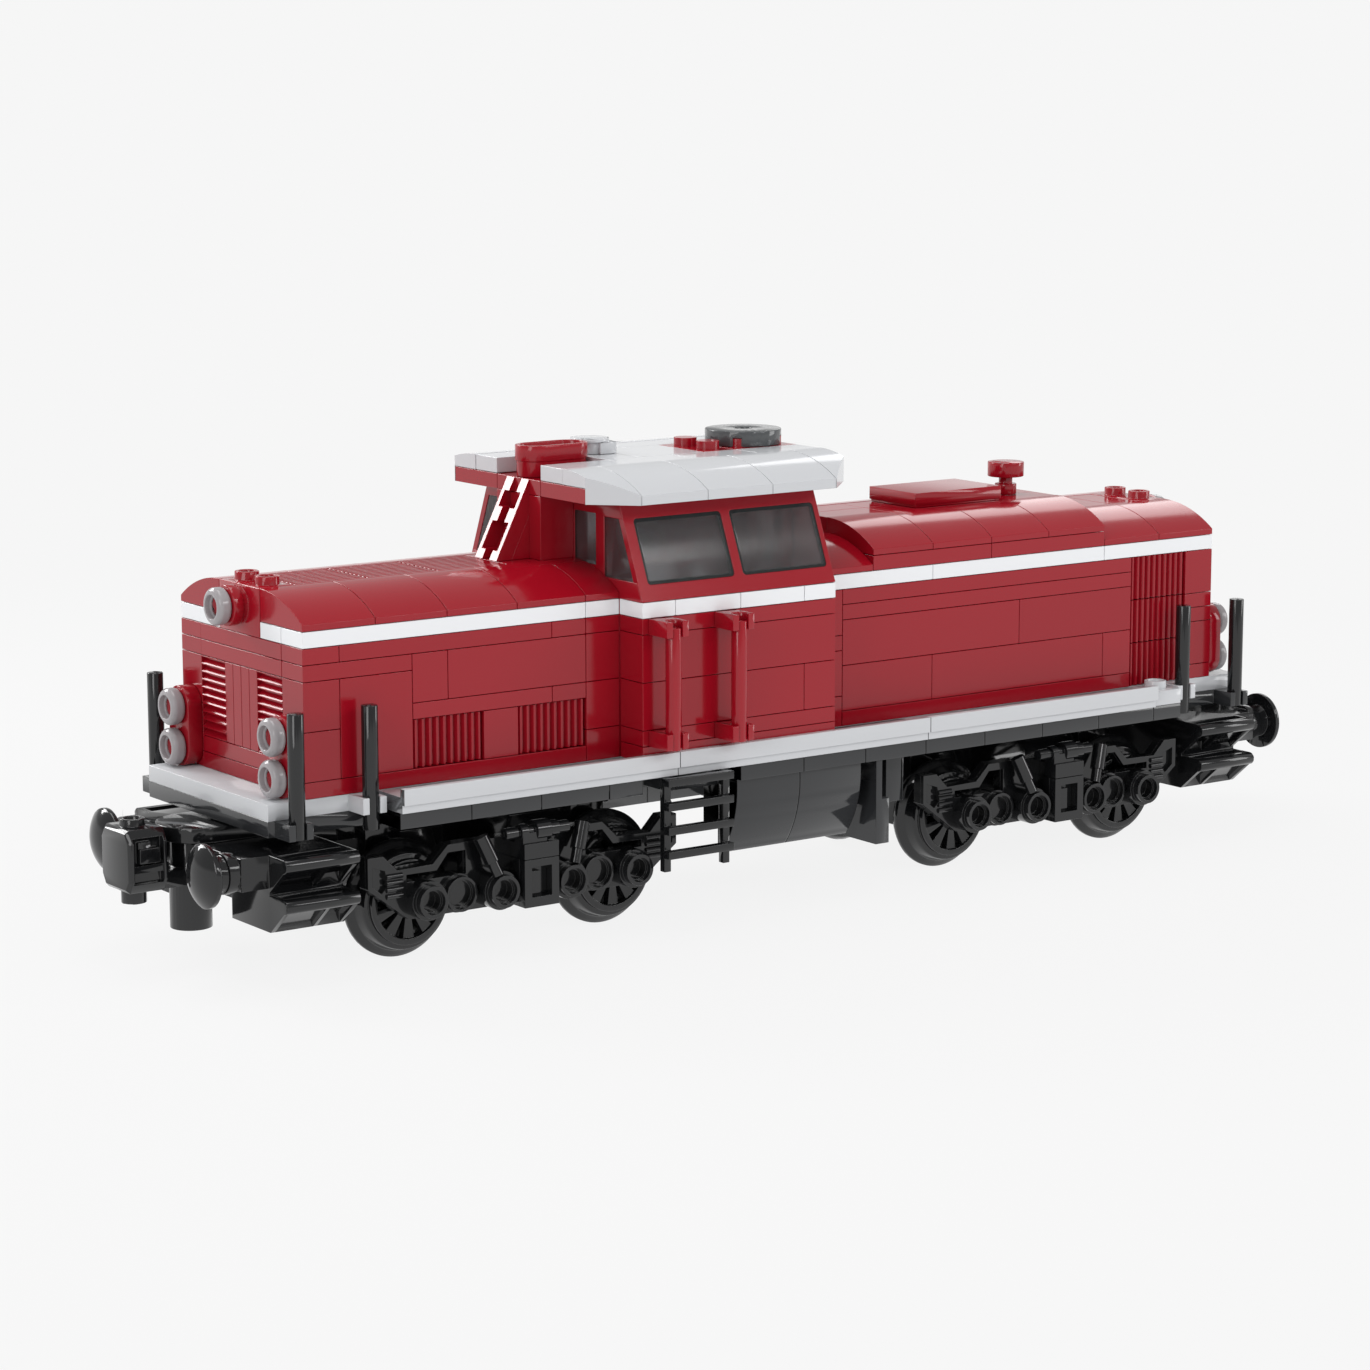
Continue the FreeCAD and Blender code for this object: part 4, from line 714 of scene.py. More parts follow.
# Painted shade in the gaps between the board plates.
BOARD_GREY = Plastic("light grey plastic in rows with painted joint shade", "light_grey_plastic", (0.56, 0.57, 0.59), spread=0.02,
                     joint_pitch=8 * STUD, joint_offset=3.5 * STUD, joint_width=0.13)
MID_GREY = Plastic("mid grey plastic", "mid_grey_plastic", (0.33, 0.31, 0.32), spread=0.02)
DARK_GREY = Plastic("dark grey plastic", "dark_grey_plastic", (0.075, 0.079, 0.083), spread=0.04)
BLACK = Plastic("black plastic", "black_plastic", (0.007, 0.0073, 0.0080), spread=0.10, specular=0.5)
# Black plastic painted lighter than BLACK, standing in for the brighter lit faces of the underframe and tank,
# with painted shade in the brick gaps.
LIGHTENED_BLACK = Plastic("black plastic in rows", "black_plastic", (0.025, 0.026, 0.028), spread=0.10,
                      specular=0.5, joint_pitch=2 * STUD, joint_offset=-STUD / 2)
GLASS = SmokeGlass("smoke clear plastic", "smoke_glass", (0.46, 0.46, 0.47))
STEEL = Metal("plain metal rod", "axle_metal", (0.55, 0.55, 0.56))


@dataclass(frozen=True)
class Row:
    """Bricks side by side: levels in plates above the deck and joints in studs along X."""

    levels: Span
    joints: tuple[float, ...]
    grooved: bool = False


@dataclass
class BrickWalls:
    """Side walls of a hood or the cab, brick by brick."""

    name: str
    node: str
    rows: tuple[Row, ...]
    half_width: float = HOOD_HALF
    thickness: float = STUD
    grooved_edge: float = 0.04

    def build(self) -> None:
        """Builds plain and grooved bricks on both sides."""
        plain, grooved = Moulding(self.name + "_bricks"), Moulding(self.name + "_grooved_bricks")
        y = (-self.half_width, -self.half_width + self.thickness)
        for row in self.rows:
            joints = studs(*row.joints)
            z = (DECK_TOP + PLATE * row.levels[0], DECK_TOP + PLATE * row.levels[1])
            if row.grooved:
                grooved.push(Flute().outline(joints, *y), Axis.Z, inset(z, SEAM))
            else:
                plain.grid(joints, y, z, Axis.Y)
        plain.make(RED, self.node, repeat=Repeat.SIDES)
        if any(row.grooved for row in self.rows):
            grooved.make(RED, self.node, repeat=Repeat.SIDES, edge=self.grooved_edge)


SHORT_HOOD = BrickWalls("short_hood", "short_hood_sides", (
    Row((8, 9), (-14.5, -13.5, -7.5, -6.5, -5.5)), Row((7, 8), (-14.5, -11.5)),
    Row((5, 8), (-11.5, -10.5, -6.5)), Row((4, 7), (-14.5, -13.5)), Row((1, 4), (-14.5, -13.5)),
    Row((1, 7), (-13.5, -11.5)),
    Row((4, 5), (-11.5, -7.5, -6.5)), Row((1, 4), (-11.5, -9.5), True), Row((1, 4), (-9.5, -8.5)),
    Row((1, 4), (-8.5, -6.5), True), Row((0, 1), (-14.5, -6.5)), Row((5, 8), (-6.5, -5.5)),
    Row((2, 5), (-6.5, -5.5)), Row((0, 2), (-6.5, -5.5))))
LONG_HOOD = BrickWalls("long_hood", "long_hood_sides", (
    Row((6, 9), (0.5, 1.5)), Row((5, 6), (0.5, 1.5)), Row((2, 5), (0.5, 1.5)), Row((0, 2), (0.5, 1.5)),
    Row((8, 9), (1.5, 11.5)), Row((7, 8), (1.5, 11.5)), Row((4, 7), (1.5, 7.5, 11.5)),
    Row((1, 4), (1.5, 4.5, 10.5, 11.5)), Row((0, 1), (1.5, 11.5)), Row((0, 3), (11.5, 13.5), True),
    Row((3, 6), (11.5, 13.5), True), Row((6, 9), (11.5, 13.5), True), Row((0, 1), (13.5, 14.5)),
    Row((1, 4), (13.5, 14.5)), Row((4, 5), (13.5, 14.5)), Row((5, 6), (13.5, 14.5)),
    Row((6, 9), (13.5, 14.5))))
CAB_SIDES = BrickWalls("cab_side", "cab_sides", (
    Row((0, 1), (-5.5, 0.5)), Row((1, 2), (-5.5, 0.5)), Row((2, 5), (-5.5, -0.5, 0.5)),
    Row((5, 8), (-5.5, 0.5)), Row((8, 9), (-5.5, 0.5))), CAB_HALF, STUD - SEAM)


@dataclass
class HoodNoses:
    """End walls of the hoods: plates, four upright plates in the middle and two louvred bricks."""

    x: Span = (HOOD_END - STUD, HOOD_END)
    half_width: float = 2 * STUD
    louvre_z: Span = (DECK_TOP + 2 * PLATE, DECK_TOP + 7 * PLATE)
    uprights: tuple[float, ...] = (-2 * PLATE, -PLATE, 0, PLATE, 2 * PLATE)

    def build(self) -> None:
        """Builds both end walls."""
        plain, louvres = Moulding("nose_bricks"), Moulding("nose_louvres")
        low, high = self.louvre_z
        for z in (*pairwise((DECK_TOP, DECK_TOP + PLATE, low)), *pairwise((high, high + PLATE, STRIPE_FOOT))):
            plain.brick(self.x, (-self.half_width, self.half_width), z, Axis.X)
        plain.grid(self.x, self.uprights, self.louvre_z, Axis.X)
        outline = [(x, z) for z, x in Slat().outline(self.louvre_z, self.x[1], self.x[0])]
        for y in ((-self.half_width, self.uprights[0]), (self.uprights[-1], self.half_width)):
            louvres.push(outline, Axis.Y, inset(y))
        for piece, edge in ((plain, 0.10), (louvres, 0.05)):
            piece.make(RED, "short_hood_nose", "long_hood_nose", repeat=Repeat.ENDS, edge=edge)


@dataclass
class Stripe:
    """White band round hoods and cab."""

    z: Span = (STRIPE_FOOT, STRIPE_FOOT + PLATE)
    runs: tuple[tuple[float, tuple[float, ...]], ...] = (
        (HOOD_HALF, (-14.5, -6.5, -5.5)), (CAB_HALF, (-5.5, -4.5, -2.5, -0.5, 0.5)),
        (HOOD_HALF, (0.5, 4.5, 10.5, 14.5)))

    def build(self) -> None:
        """Builds the band from flat plates."""
        band = Moulding("white_stripe_plates")
        for outer, joints in self.runs:
            band.grid(studs(*joints), (-outer, -outer + STUD), self.z, Axis.Y)
        for x in ((-HOOD_END, STUD - HOOD_END), (HOOD_END - STUD, HOOD_END)):
            band.brick(x, (-2 * STUD, -STUD), self.z, Axis.X)
        band.make(WHITE, "stripe", repeat=Repeat.SIDES)


@dataclass
class SlopeRun:
    """Row of curved slope bricks along both sides of a roof, with joints in studs."""

    joints: tuple[float, ...]
    half_outer: float = HOOD_HALF
    half_flat: float = STUD
    bottom: float = ROOF_FOOT
    lip: float = 1.3
    height: float = 2 * PLATE
    steps: int = 14

    def curve(self) -> list[Pair]:
        """Curved top of one slope brick on the -Y side.

        Returns:
            Points (Y, Z) from the outer edge inward.
        """
        top = self.bottom + self.height
        run, rise = self.half_outer - self.half_flat, top - self.bottom - self.lip
        radius = (run * run + rise * rise) / (2 * rise)
        reach = math.degrees(math.asin(run / radius))
        curve = arc((-self.half_flat, top - radius), radius, 90 + reach, 90, self.steps)
        return curve[:-1] + [(-self.half_flat - SEAM / 2, top)]

    def add_slopes(self, piece: Moulding, foot: list[Pair] | None = None) -> None:
        """Adds the slope bricks of the -Y side.

        Args:
            piece: Mesh to add to.
            foot: Points (Y, Z) of the underside from the inside outward, if it isn't flat.
        """
        curve = self.curve()
        level = self.bottom + SEAM / 2
        section = (foot or [(curve[-1][0], level), (-self.half_outer, level)]) + curve
        for x in pairwise(studs(*self.joints)):
            piece.push(section, Axis.X, inset(x))

    def add_tiles(self, piece: Moulding, joints: tuple[float, ...],
                  rows: tuple[float, ...] = (-1, 1)) -> None:
        """Adds flat tiles along the middle, between joints along X and rows along Y in studs."""
        piece.grid(studs(*joints), studs(*rows), (self.bottom, self.bottom + self.height))


@dataclass
class HoodRoofs:
    """Roofs of both hoods with the grille tiles on the short one."""

    riser: float = ROOF_FOOT + PLATE
    grille: tuple[float, ...] = (-13.5, -11.5, -9.5, -7.5)
    bars: int = 5
    bar_width: float = 0.85
    bar_sunk: float = 0.2
    grille_depth: float = 1.5

    def build(self) -> None:
        """Builds slopes, tiles and the grille."""
        short = SlopeRun((-14.5, -12.5, -10.5, -8.5, -6.5, -5.5))
        slopes, tiles = Moulding("short_hood_roof_slopes"), Moulding("short_hood_roof_tiles")
        short.add_slopes(slopes)
        slopes.make(RED, "short_hood_roof", repeat=Repeat.SIDES)
        short.add_tiles(tiles, (-7.5, -6.5, -5.5))
        tiles.make(RED, "short_hood_roof")
        self.build_grille(short.bottom, short.bottom + short.height)
        low_run, first_run = SlopeRun((10.5, 12.5, 14.5)), SlopeRun((0.5, 2.5))
        high_run = SlopeRun((2.5, 4.5, 6.5, 8.5, 10.5), bottom=self.riser)
        slopes, tiles = Moulding("long_hood_roof_slopes"), Moulding("long_hood_roof_tiles")
        for run in (low_run, first_run, high_run):
            run.add_slopes(slopes)
        slopes.grid(studs(2.5, 6.5, 10.5), (-HOOD_HALF, 0), (ROOF_FOOT, self.riser), Axis.Y)
        slopes.make(RED, "long_hood_roof", repeat=Repeat.SIDES)
        low_run.add_tiles(tiles, (10.5, 12.5, 13.5))
        first_run.add_tiles(tiles, first_run.joints)
        high_run.add_tiles(tiles, high_run.joints, (-1, 0, 1))
        tiles.make(RED, "long_hood_roof")

    def build_grille(self, bottom: float, top: float) -> None:
        """Builds the grille tiles: lengthwise bars over a sunk floor.

        Args:
            bottom: Level of the tiles' undersides.
            top: Level of the bars' tops.
        """
        grille = Moulding("short_hood_grille_tiles")
        floor = top - self.grille_depth
        for x in pairwise(studs(*self.grille)):
            for low in (-STUD, 0.0):
                grille.brick(x, (low, low + STUD), (bottom, floor))
                for index in range(self.bars):
                    middle = low + STUD / self.bars * (index + 0.5)
                    y = (middle - self.bar_width / 2, middle + self.bar_width / 2)
                    grille.block(inset(x, SEAM), y, (floor - self.bar_sunk, top))
        grille.make(RED, "short_hood_roof", edge=0.14)


@dataclass
class WindowPanels:
    """Leaning window panels of the cab and their dark seals, which are partly a painted shadow of the frame
    on the glass, widest along the top.
    """

    x: Span = (-5.5 * STUD, 0.5 * STUD)
    height: float = 2 * BRICK
    thickness: float = 1.6
    windows: tuple[Span, ...] = ((-41.6, -20.4), (-18.3, 2.8))
    window_z: Span = (PLATE, 15.8)
    corner: float = 0.8
    seal: float = 0.5
    # Painted shadow: the top band of the seal is wider, for the frame's shadow on the glass.
    seal_top_with_painted_shadow: float = 0.75
    seal_y: Span = (0.15, 1.5)

    def lean(self, place: Pair, depth: float) -> Point:
        """Point of the leaning side at (X, rise above the stripe), at a level depth behind its outer face."""
        lean = (CAB_HALF - HOOD_HALF) * (place[1] / self.height)
        return (place[0], -CAB_HALF + lean + depth, ROOF_FOOT + place[1])

    def build(self) -> None:
        """Builds the red panel with both openings and the dark seals inside them, which are partly painted
        shadow.
        """
        panel, seals = Moulding("cab_window_frames"), Moulding("cab_window_seals_with_painted_shadow")
        (left, right), (foot, head) = inset(self.x), inset((0, self.height))
        openings = []
        for window in self.windows:
            wide = rounded_rectangle(window, self.window_z, self.corner)
            clear = (self.window_z[0] + self.seal, self.window_z[1] - self.seal_top_with_painted_shadow)
            narrow = rounded_rectangle(inset(window, self.seal), clear, self.corner - self.seal / 2)
            openings.append([self.lean(place, 0) for place in wide])
            front, back = self.seal_y
            seals.loft([seals.ring(self.lean(place, depth) for place in loop)
                        for loop, depth in ((wide, front), (narrow, front), (narrow, back), (wide, back))])
        corners = ((right, foot), (right, head), (left, head), (left, foot))
        panel.pierced([self.lean(place, 0) for place in corners], openings, self.thickness)
        panel.make(RED, "cab_window_panels", repeat=Repeat.SIDES)
        # Dark seals, partly a painted shadow of the frame.
        seals.make(BLACK, repeat=Repeat.SIDES, edge=0.05)


@dataclass
class CabRoof:
    """Light-grey roof of curved slopes and tiles over the red plate."""

    ends: Span = (-6.5 * STUD, 1.5 * STUD)
    run: SlopeRun = field(default_factory=lambda: SlopeRun(
        (-5.5, -3.5, -1.5, 0.5), CAB_HALF, 2 * STUD, ROOF_FOOT + 2 * BRICK, 2.0))
    plate_half: float = HOOD_HALF
    corner_edge: float = 0.15

    def build(self) -> None:
        """Builds slopes, corner pieces, tiles and the red plate layer."""
        bottom = self.run.bottom
        middle, top = bottom + PLATE, bottom + self.run.height
        under, foot = middle + SEAM / 2, bottom + SEAM / 2
        inner, ledge = -self.run.half_flat - SEAM / 2, -self.plate_half - SEAM / 2
        slopes = Moulding("cab_roof_slopes")
        underside = [(inner, under), (ledge, under), (ledge, foot)]
        self.run.add_slopes(slopes, underside + [(-self.run.half_outer, foot)])
        slopes.make(LIGHT_GREY, "cab_roof", repeat=Repeat.SIDES)
        self.build_corners(underside)
        self.build_tiles(bottom, middle, top)

    def build_corners(self, underside: list[Pair]) -> None:
        """Builds the four corner pieces with their slanting cut.

        Args:
            underside: Points (Y, Z) of the underside from the inside to the red plate's edge.
        """
        corners = Moulding("cab_roof_corners")
        ledge, foot = underside[-1]
        curve = self.run.curve()
        after = next(index for index, point in enumerate(curve) if point[0] > ledge)
        (y_before, z_before), (y_after, z_after) = curve[after - 1], curve[after]
        share = (ledge - y_before) / (y_after - y_before)
        curve.insert(after, (ledge, z_before + share * (z_after - z_before)))
        joints = studs(*self.run.joints)
        for joint, end in ((joints[0], self.ends[0]), (joints[-1], self.ends[1])):
            inward = math.copysign(1.0, joint - end)
            rows = [(joint - inward * SEAM, -self.run.half_outer, foot)]
            rows += [(end + inward * max(0.0, ledge - y), y, z) for y, z in curve]
            rows += [(end, y, z) for y, z in underside]
            made = [corners.ring([(joint - inward * SEAM / 2, y, z), (x, y, z)]) for x, y, z in rows]
            for row, follow in zip(made, made[1:] + made[:1]):
                corners.mesh.faces.new((*row, *reversed(follow)))
            flat, slant = zip(*made)
            ridge = after + 1
            for face in (flat, slant[ridge:-1], slant[:ridge + 1] + slant[-2:]):
                corners.mesh.faces.new(face)
        corners.make(LIGHT_GREY, "cab_roof", repeat=Repeat.SIDES, edge=self.corner_edge)

    def build_tiles(self, bottom: float, middle: float, top: float) -> None:
        """Builds the flat tiles and the red plates under and between them.

        Args:
            bottom: Level of the red plates' undersides.
            middle: Level of their tops.
            top: Level of the roof's flat top.
        """
        tiles, plates = Moulding("cab_roof_tiles"), Moulding("cab_roof_red_plates")
        for x in pairwise(studs(-6.5, -4.5, -2.5, -0.5, 1.5)):
            for y in (studs(-2, -1), studs(1, 2)):
                tiles.brick(x, y, (middle, top))
        tiles.grid(studs(-4.5, -3.5, -1.5), studs(-1, 1), (middle, top))
        tiles.make(LIGHT_GREY, "cab_roof")
        plates.grid(studs(-6.5, -4.5, -0.5, 1.5), studs(-3, -1, 1, 3), (bottom, middle))
        for x in pairwise(studs(-1.5, -0.5, 0.5, 1.5)):
            plates.brick(x, studs(-1, 1), (middle, top))
            for y in studs(-0.5, 0.5):
                plates.stud(x[0] + STUD / 2, y, top)
        plates.make(RED, "cab_roof_plate")


@dataclass
class Duct:
    """Exhaust duct that leans against the cab, with two notched rails down its face."""

    foot_x: float = -7.5 * STUD
    head_x: float = -6.5 * STUD
    foot_z: float = DECK_TOP + 12 * PLATE
    height: float = 5 * PLATE
    rise: float = 5 * PLATE - 0.1
    half: float = STUD / 2
    slot_half: float = 1.3
    notch_half: float = 2.9
    notches: tuple[Span, ...] = ((1.9, 7.3), (10.1, 13.2))
    depth: float = 3.6
    block_height: float = 4 * PLATE

    def face(self, rise: float, y: float) -> Point:
        """Point on the leaning face at a height above the hood roof."""
        return (self.foot_x + (self.head_x - self.foot_x) * rise / self.height, y, self.foot_z + rise)

    def build(self) -> None:
        """Builds both rails, the wedge behind them and the block against the cab."""
        piece = Moulding("exhaust_duct_rails")
        rail = [(0, self.half), (self.rise, self.half), (self.rise, self.slot_half)]
        for low, high in reversed(self.notches):
            rail += [(high, self.slot_half), (high, self.notch_half),
                     (low, self.notch_half), (low, self.slot_half)]
        rail.append((0, self.slot_half))
        for side in (-1, 1):
            piece.pierced([self.face(rise, side * y) for rise, y in rail], [], self.depth, Axis.X)
        back, run = self.foot_x + self.depth, self.head_x - self.foot_x
        peak = self.foot_z + (run - self.depth) / (run / self.height)
        piece.push([(back, self.foot_z), (self.head_x, self.foot_z), (self.head_x, peak)],
                   Axis.Y, (-self.half, self.half))
        piece.block((self.head_x, self.head_x + STUD - SEAM), (-STUD, STUD),
                    (self.foot_z, self.foot_z + self.block_height))
        piece.make(RED, "exhaust_duct", edge=0.06)


@dataclass(frozen=True)
class Boss:
    """Round boss on a side frame: its place, the level of its face, and the rim and bore in that face."""

    offset: float
    face: float
    rim: float
    bore: float
    radius: float = 3.9
    shoulder: float = 1.6
    step: float = 1.1
    step_in: float = 0.45
    depth: float = 3.0

    def profile(self, inner: float) -> list[Pair]:
        """Closed profile that goes out from the side frame's inner face.

        Args:
            inner: Level of that face.

        Returns:
            Points as distance along Y and radius.
        """
        reach = self.face - inner
        neck, step, floor = reach - self.shoulder, reach - self.step, reach - self.depth
        narrow = self.bore - self.step_in
        points = ((0, 0), (0, self.radius), (neck, self.radius), (neck, self.rim), (reach, self.rim),
                  (reach, self.bore), (step, self.bore), (step, narrow), (floor, narrow), (floor, 0))
        return [(-along, radius) for along, radius in points]


@dataclass
class SideFrames:
    """Outside frames of one bogie with bosses, springs, levers and brake gear.

    Places are given as the distance from the bogie's middle, the drop from the deck's top and the
    distance from the toy's middle plane.
    """

    end: str
    middle: float
    inner: float = 23.2
    outer: float = 26.4
    half_outline: tuple[Pair, ...] = (
        (18.0, 12.0), (21.5, 15.4), (29.5, 15.6), (32.5, 12.5),
        (36.0, 12.5), (36.0, 18.7), (31.0, 22.5), (27.0, 25.6))
    opening: tuple[Pair, ...] = (
        (14.0, 13.6), (18.0, 13.6), (20.6, 16.8), (27.4, 16.8), (27.4, 18.2), (14.0, 18.2))
    pocket: tuple[Pair, ...] = ((32.2, 15.4), (35.0, 14.4), (35.0, 18.2), (33.0, 19.8), (31.6, 18.4))
    pocket_depth: float = 1.0
    bosses: tuple[Boss, ...] = (
        Boss(24.0, 31.0, 3.2, 2.45), Boss(16.0, 28.3, 3.5, 2.95), Boss(8.0, 31.5, 3.25, 2.55))
    boss_drop: float = 21.8
    coil_drops: tuple[float, ...] = (16.6, 17.9, 19.2, 20.5)
    coil_span: Span = (28.4, 32.0)
    coil_radius: float = 0.55
    coil_steps: int = 16
    lever: tuple[Point, Point] = ((8.9, 18.6, 30.2), (11.9, 10.9, 28.4))
    lever_shares: Pair = (0.45, 0.35)
    lever_radii: Pair = (1.1, 1.55)
    box_half: float = STUD / 2
    box_face: float = 4 * STUD
    box_drops: Point = (12.9, 16.1, 25.6)
    slot: tuple[Pair, Pair] = ((-2.3, 2.3), (17.6, 23.6))
    slot_depth: float = 2.0
    bar_x: Span = (0.35, 2.5)
    bar_y: Span = (1.1, 0.1)
    bar_z: Span = (0.5, 1.0)
    cylinder_drop: float = 10.8
    cylinder_steps: tuple[Point, ...] = (
        (-7.4, -4.6, 1.2), (-4.6, -4.1, 0.9), (-4.1, -2.5, 1.6), (-2.5, -0.7, 1.2),
        (-0.7, 2.6, 2.1), (2.6, 4.7, 1.6), (4.7, 7.3, 1.2))
    saddle_half: float = 1.6
    saddle_sunk: float = 0.1

    def build(self) -> None:
        """Builds both frames of the bogie."""
        piece = Moulding("side_frames_" + self.end, "bogie_" + self.end)
        for side in (-1, 1):
            self.add_half(piece, side)
        self.add_plates(piece)
        self.add_brake_gear(piece)
        piece.make(BLACK, "side_frames_" + self.end, repeat=Repeat.SIDES, edge=0.08)

    def at(self, side: int, offset: float, drop: float, out: float) -> Point:
        """Point on the -Y side, at an offset along the toy counted in the direction of side."""
        return (self.middle + side * offset, -out, DECK_TOP - drop)

    def add_plates(self, piece: Moulding) -> None:
        """Adds the frame plate: a pierced inner layer and an outer one with pockets as well.

        Args:
            piece: Mesh to add to.
        """
        split = self.outer - self.pocket_depth
        for level, loops, depth in ((self.outer, (self.opening, self.pocket), self.pocket_depth),
                                    (split, (self.opening,), split - self.inner)):
            outline = [self.at(side, *place, level)
                       for side in (1, -1) for place in self.half_outline[::side]]
            holes = [[self.at(side, *place, level) for place in loop] for loop in loops for side in (-1, 1)]
            piece.pierced(outline, holes, depth)

    def add_half(self, piece: Moulding, side: int) -> None:
        """Adds the bosses, coils and lever on one side of the bogie's middle.

        Args:
            piece: Mesh to add to.
            side: Direction along X from the bogie's middle.
        """
        for boss in self.bosses:
            centre = self.at(side, boss.offset, self.boss_drop, self.inner)
            piece.turn(boss.profile(self.inner), centre, Axis.Y)
        for drop in self.coil_drops:
            start, end = (self.at(side, offset, drop, self.outer) for offset in self.coil_span)
            piece.rod(start, end, self.coil_radius, self.coil_steps)
        foot, head = (Vector(self.at(side, *place)) for place in self.lever)
        thin_end, thick_start = (foot.lerp(head, share) for share in self.lever_shares)
        piece.rod(foot, thin_end, self.lever_radii[0])
        piece.rod(thick_start, head, self.lever_radii[1])

    def add_brake_gear(self, piece: Moulding) -> None:
        """Adds the slotted box in the middle and the stepped cylinder on top of it.

        Args:
            piece: Mesh to add to.
        """
        (x0, x1), (z0, z1) = self.slot
        top, seam, foot = self.box_drops
        half, face, back = self.box_half, self.box_face, self.box_face - self.slot_depth
        box_x = (self.middle - half, self.middle + half)
        piece.block(box_x, (-face, -self.inner), (DECK_TOP - seam + SEAM, DECK_TOP - top))
        outline, hole = (
            [self.at(1, *place, face) for place in ((left, low), (right, low), (right, high), (left, high))]
            for left, right, low, high in ((-half, half, seam, foot), (x0, x1, z0, z1)))
        piece.pierced(outline, [hole], self.slot_depth)
        piece.block(box_x, (-back, -self.inner), (DECK_TOP - foot, DECK_TOP - seam))
        piece.block((self.middle + x0 + self.bar_x[0], self.middle + x0 + self.bar_x[1]),
                    (-back - self.bar_y[0], -back + self.bar_y[1]),
                    (DECK_TOP - z1 + self.bar_z[0], DECK_TOP - z0 - self.bar_z[1]))
        steps = self.cylinder_steps
        axis = face - max(radius for _, _, radius in steps)
        profile = [(x, radius) for start, end, radius in steps for x in (start, end)]
        piece.turn([(steps[0][0], 0), *profile, (steps[-1][1], 0)],
                   self.at(1, 0, self.cylinder_drop, axis), Axis.X)
        piece.block((box_x[0], self.middle + self.saddle_half),
                    (-axis - self.saddle_half, -axis + self.saddle_half),
                    (DECK_TOP - top - self.saddle_sunk, DECK_TOP - self.cylinder_drop))


def numbered(name: str) -> tuple[str, ...]:
    """Names of the four copies of a node on the wheelsets."""
    return tuple(f"{name}_{number}" for number in range(1, 5))


@dataclass
class KeptNodes:
    """CAD nodes whose shape is shown as it is, each with its finish and its rounded edges."""

    finishes: tuple[tuple[Finish, float, tuple[str, ...]], ...] = (
        # Painted shade in the joints of the running boards, underframe and tank; the underframe and tank
        # black is painted lighter as well.
        (BOARD_GREY, 0.12, ("running_boards",)),
        (LIGHT_GREY, 0.12, ("deck",)),
        (LIGHTENED_BLACK, 0.14, ("underframe", "fuel_tank")),
        (BLACK, 0.14, ("ladders", "corner_posts", "bogie_frame_near", "bogie_frame_far", "end_platform_near",
                       "end_platform_far", "coupler_near", "coupler_far")),
        (BLACK, 0.12, numbered("wheels")),
        (STEEL, 0.1, numbered("axle")),
        (RED, 0.16, ("lamp_housings", "cab_end_walls", "exhaust_stack", "hood_hatch", "horn", "grab_rails")),
        (MID_GREY, 0.1, ("lamp_rings",)),
        (LIGHT_GREY, 0.14, ("roof_cap",)),
        (DARK_GREY, 0.16, ("roof_fan", "cab_interior")),
        (GLASS, 0.05, ("cab_side_glass", "cab_end_glass")))

    def dress(self, nodes: dict[str, bpy.types.Object]) -> None:
        """Gives every kept node its material and soft edges.

        Args:
            nodes: CAD objects by name.
        """
        for finish, edge, names in self.finishes:
            for name in names:
                nodes[name].data.materials.clear()
                nodes[name].data.materials.append(finish.material())
                soften(nodes[name], edge, weld=True)


@dataclass(frozen=True)
class SoftBox:
    """Rectangular lamp: its middle, the point that it faces, its width and height in metres and its watts."""

    name: str
    place: Point
    target: Point
    size: Pair
    power: float

    def build(self) -> None:
        """Adds the lamp."""
        data = bpy.data.lights.new(self.name, "AREA")
        data.shape = "RECTANGLE"
        data.size, data.size_y = self.size
        data.energy = self.power
        lamp = bpy.data.objects.new(self.name, data)
        lamp.location = self.place
        lamp.rotation_mode = "QUATERNION"
        lamp.rotation_quaternion = (Vector(self.target) - Vector(self.place)).to_track_quat("-Z", "Y")
        bpy.context.scene.collection.objects.link(lamp)


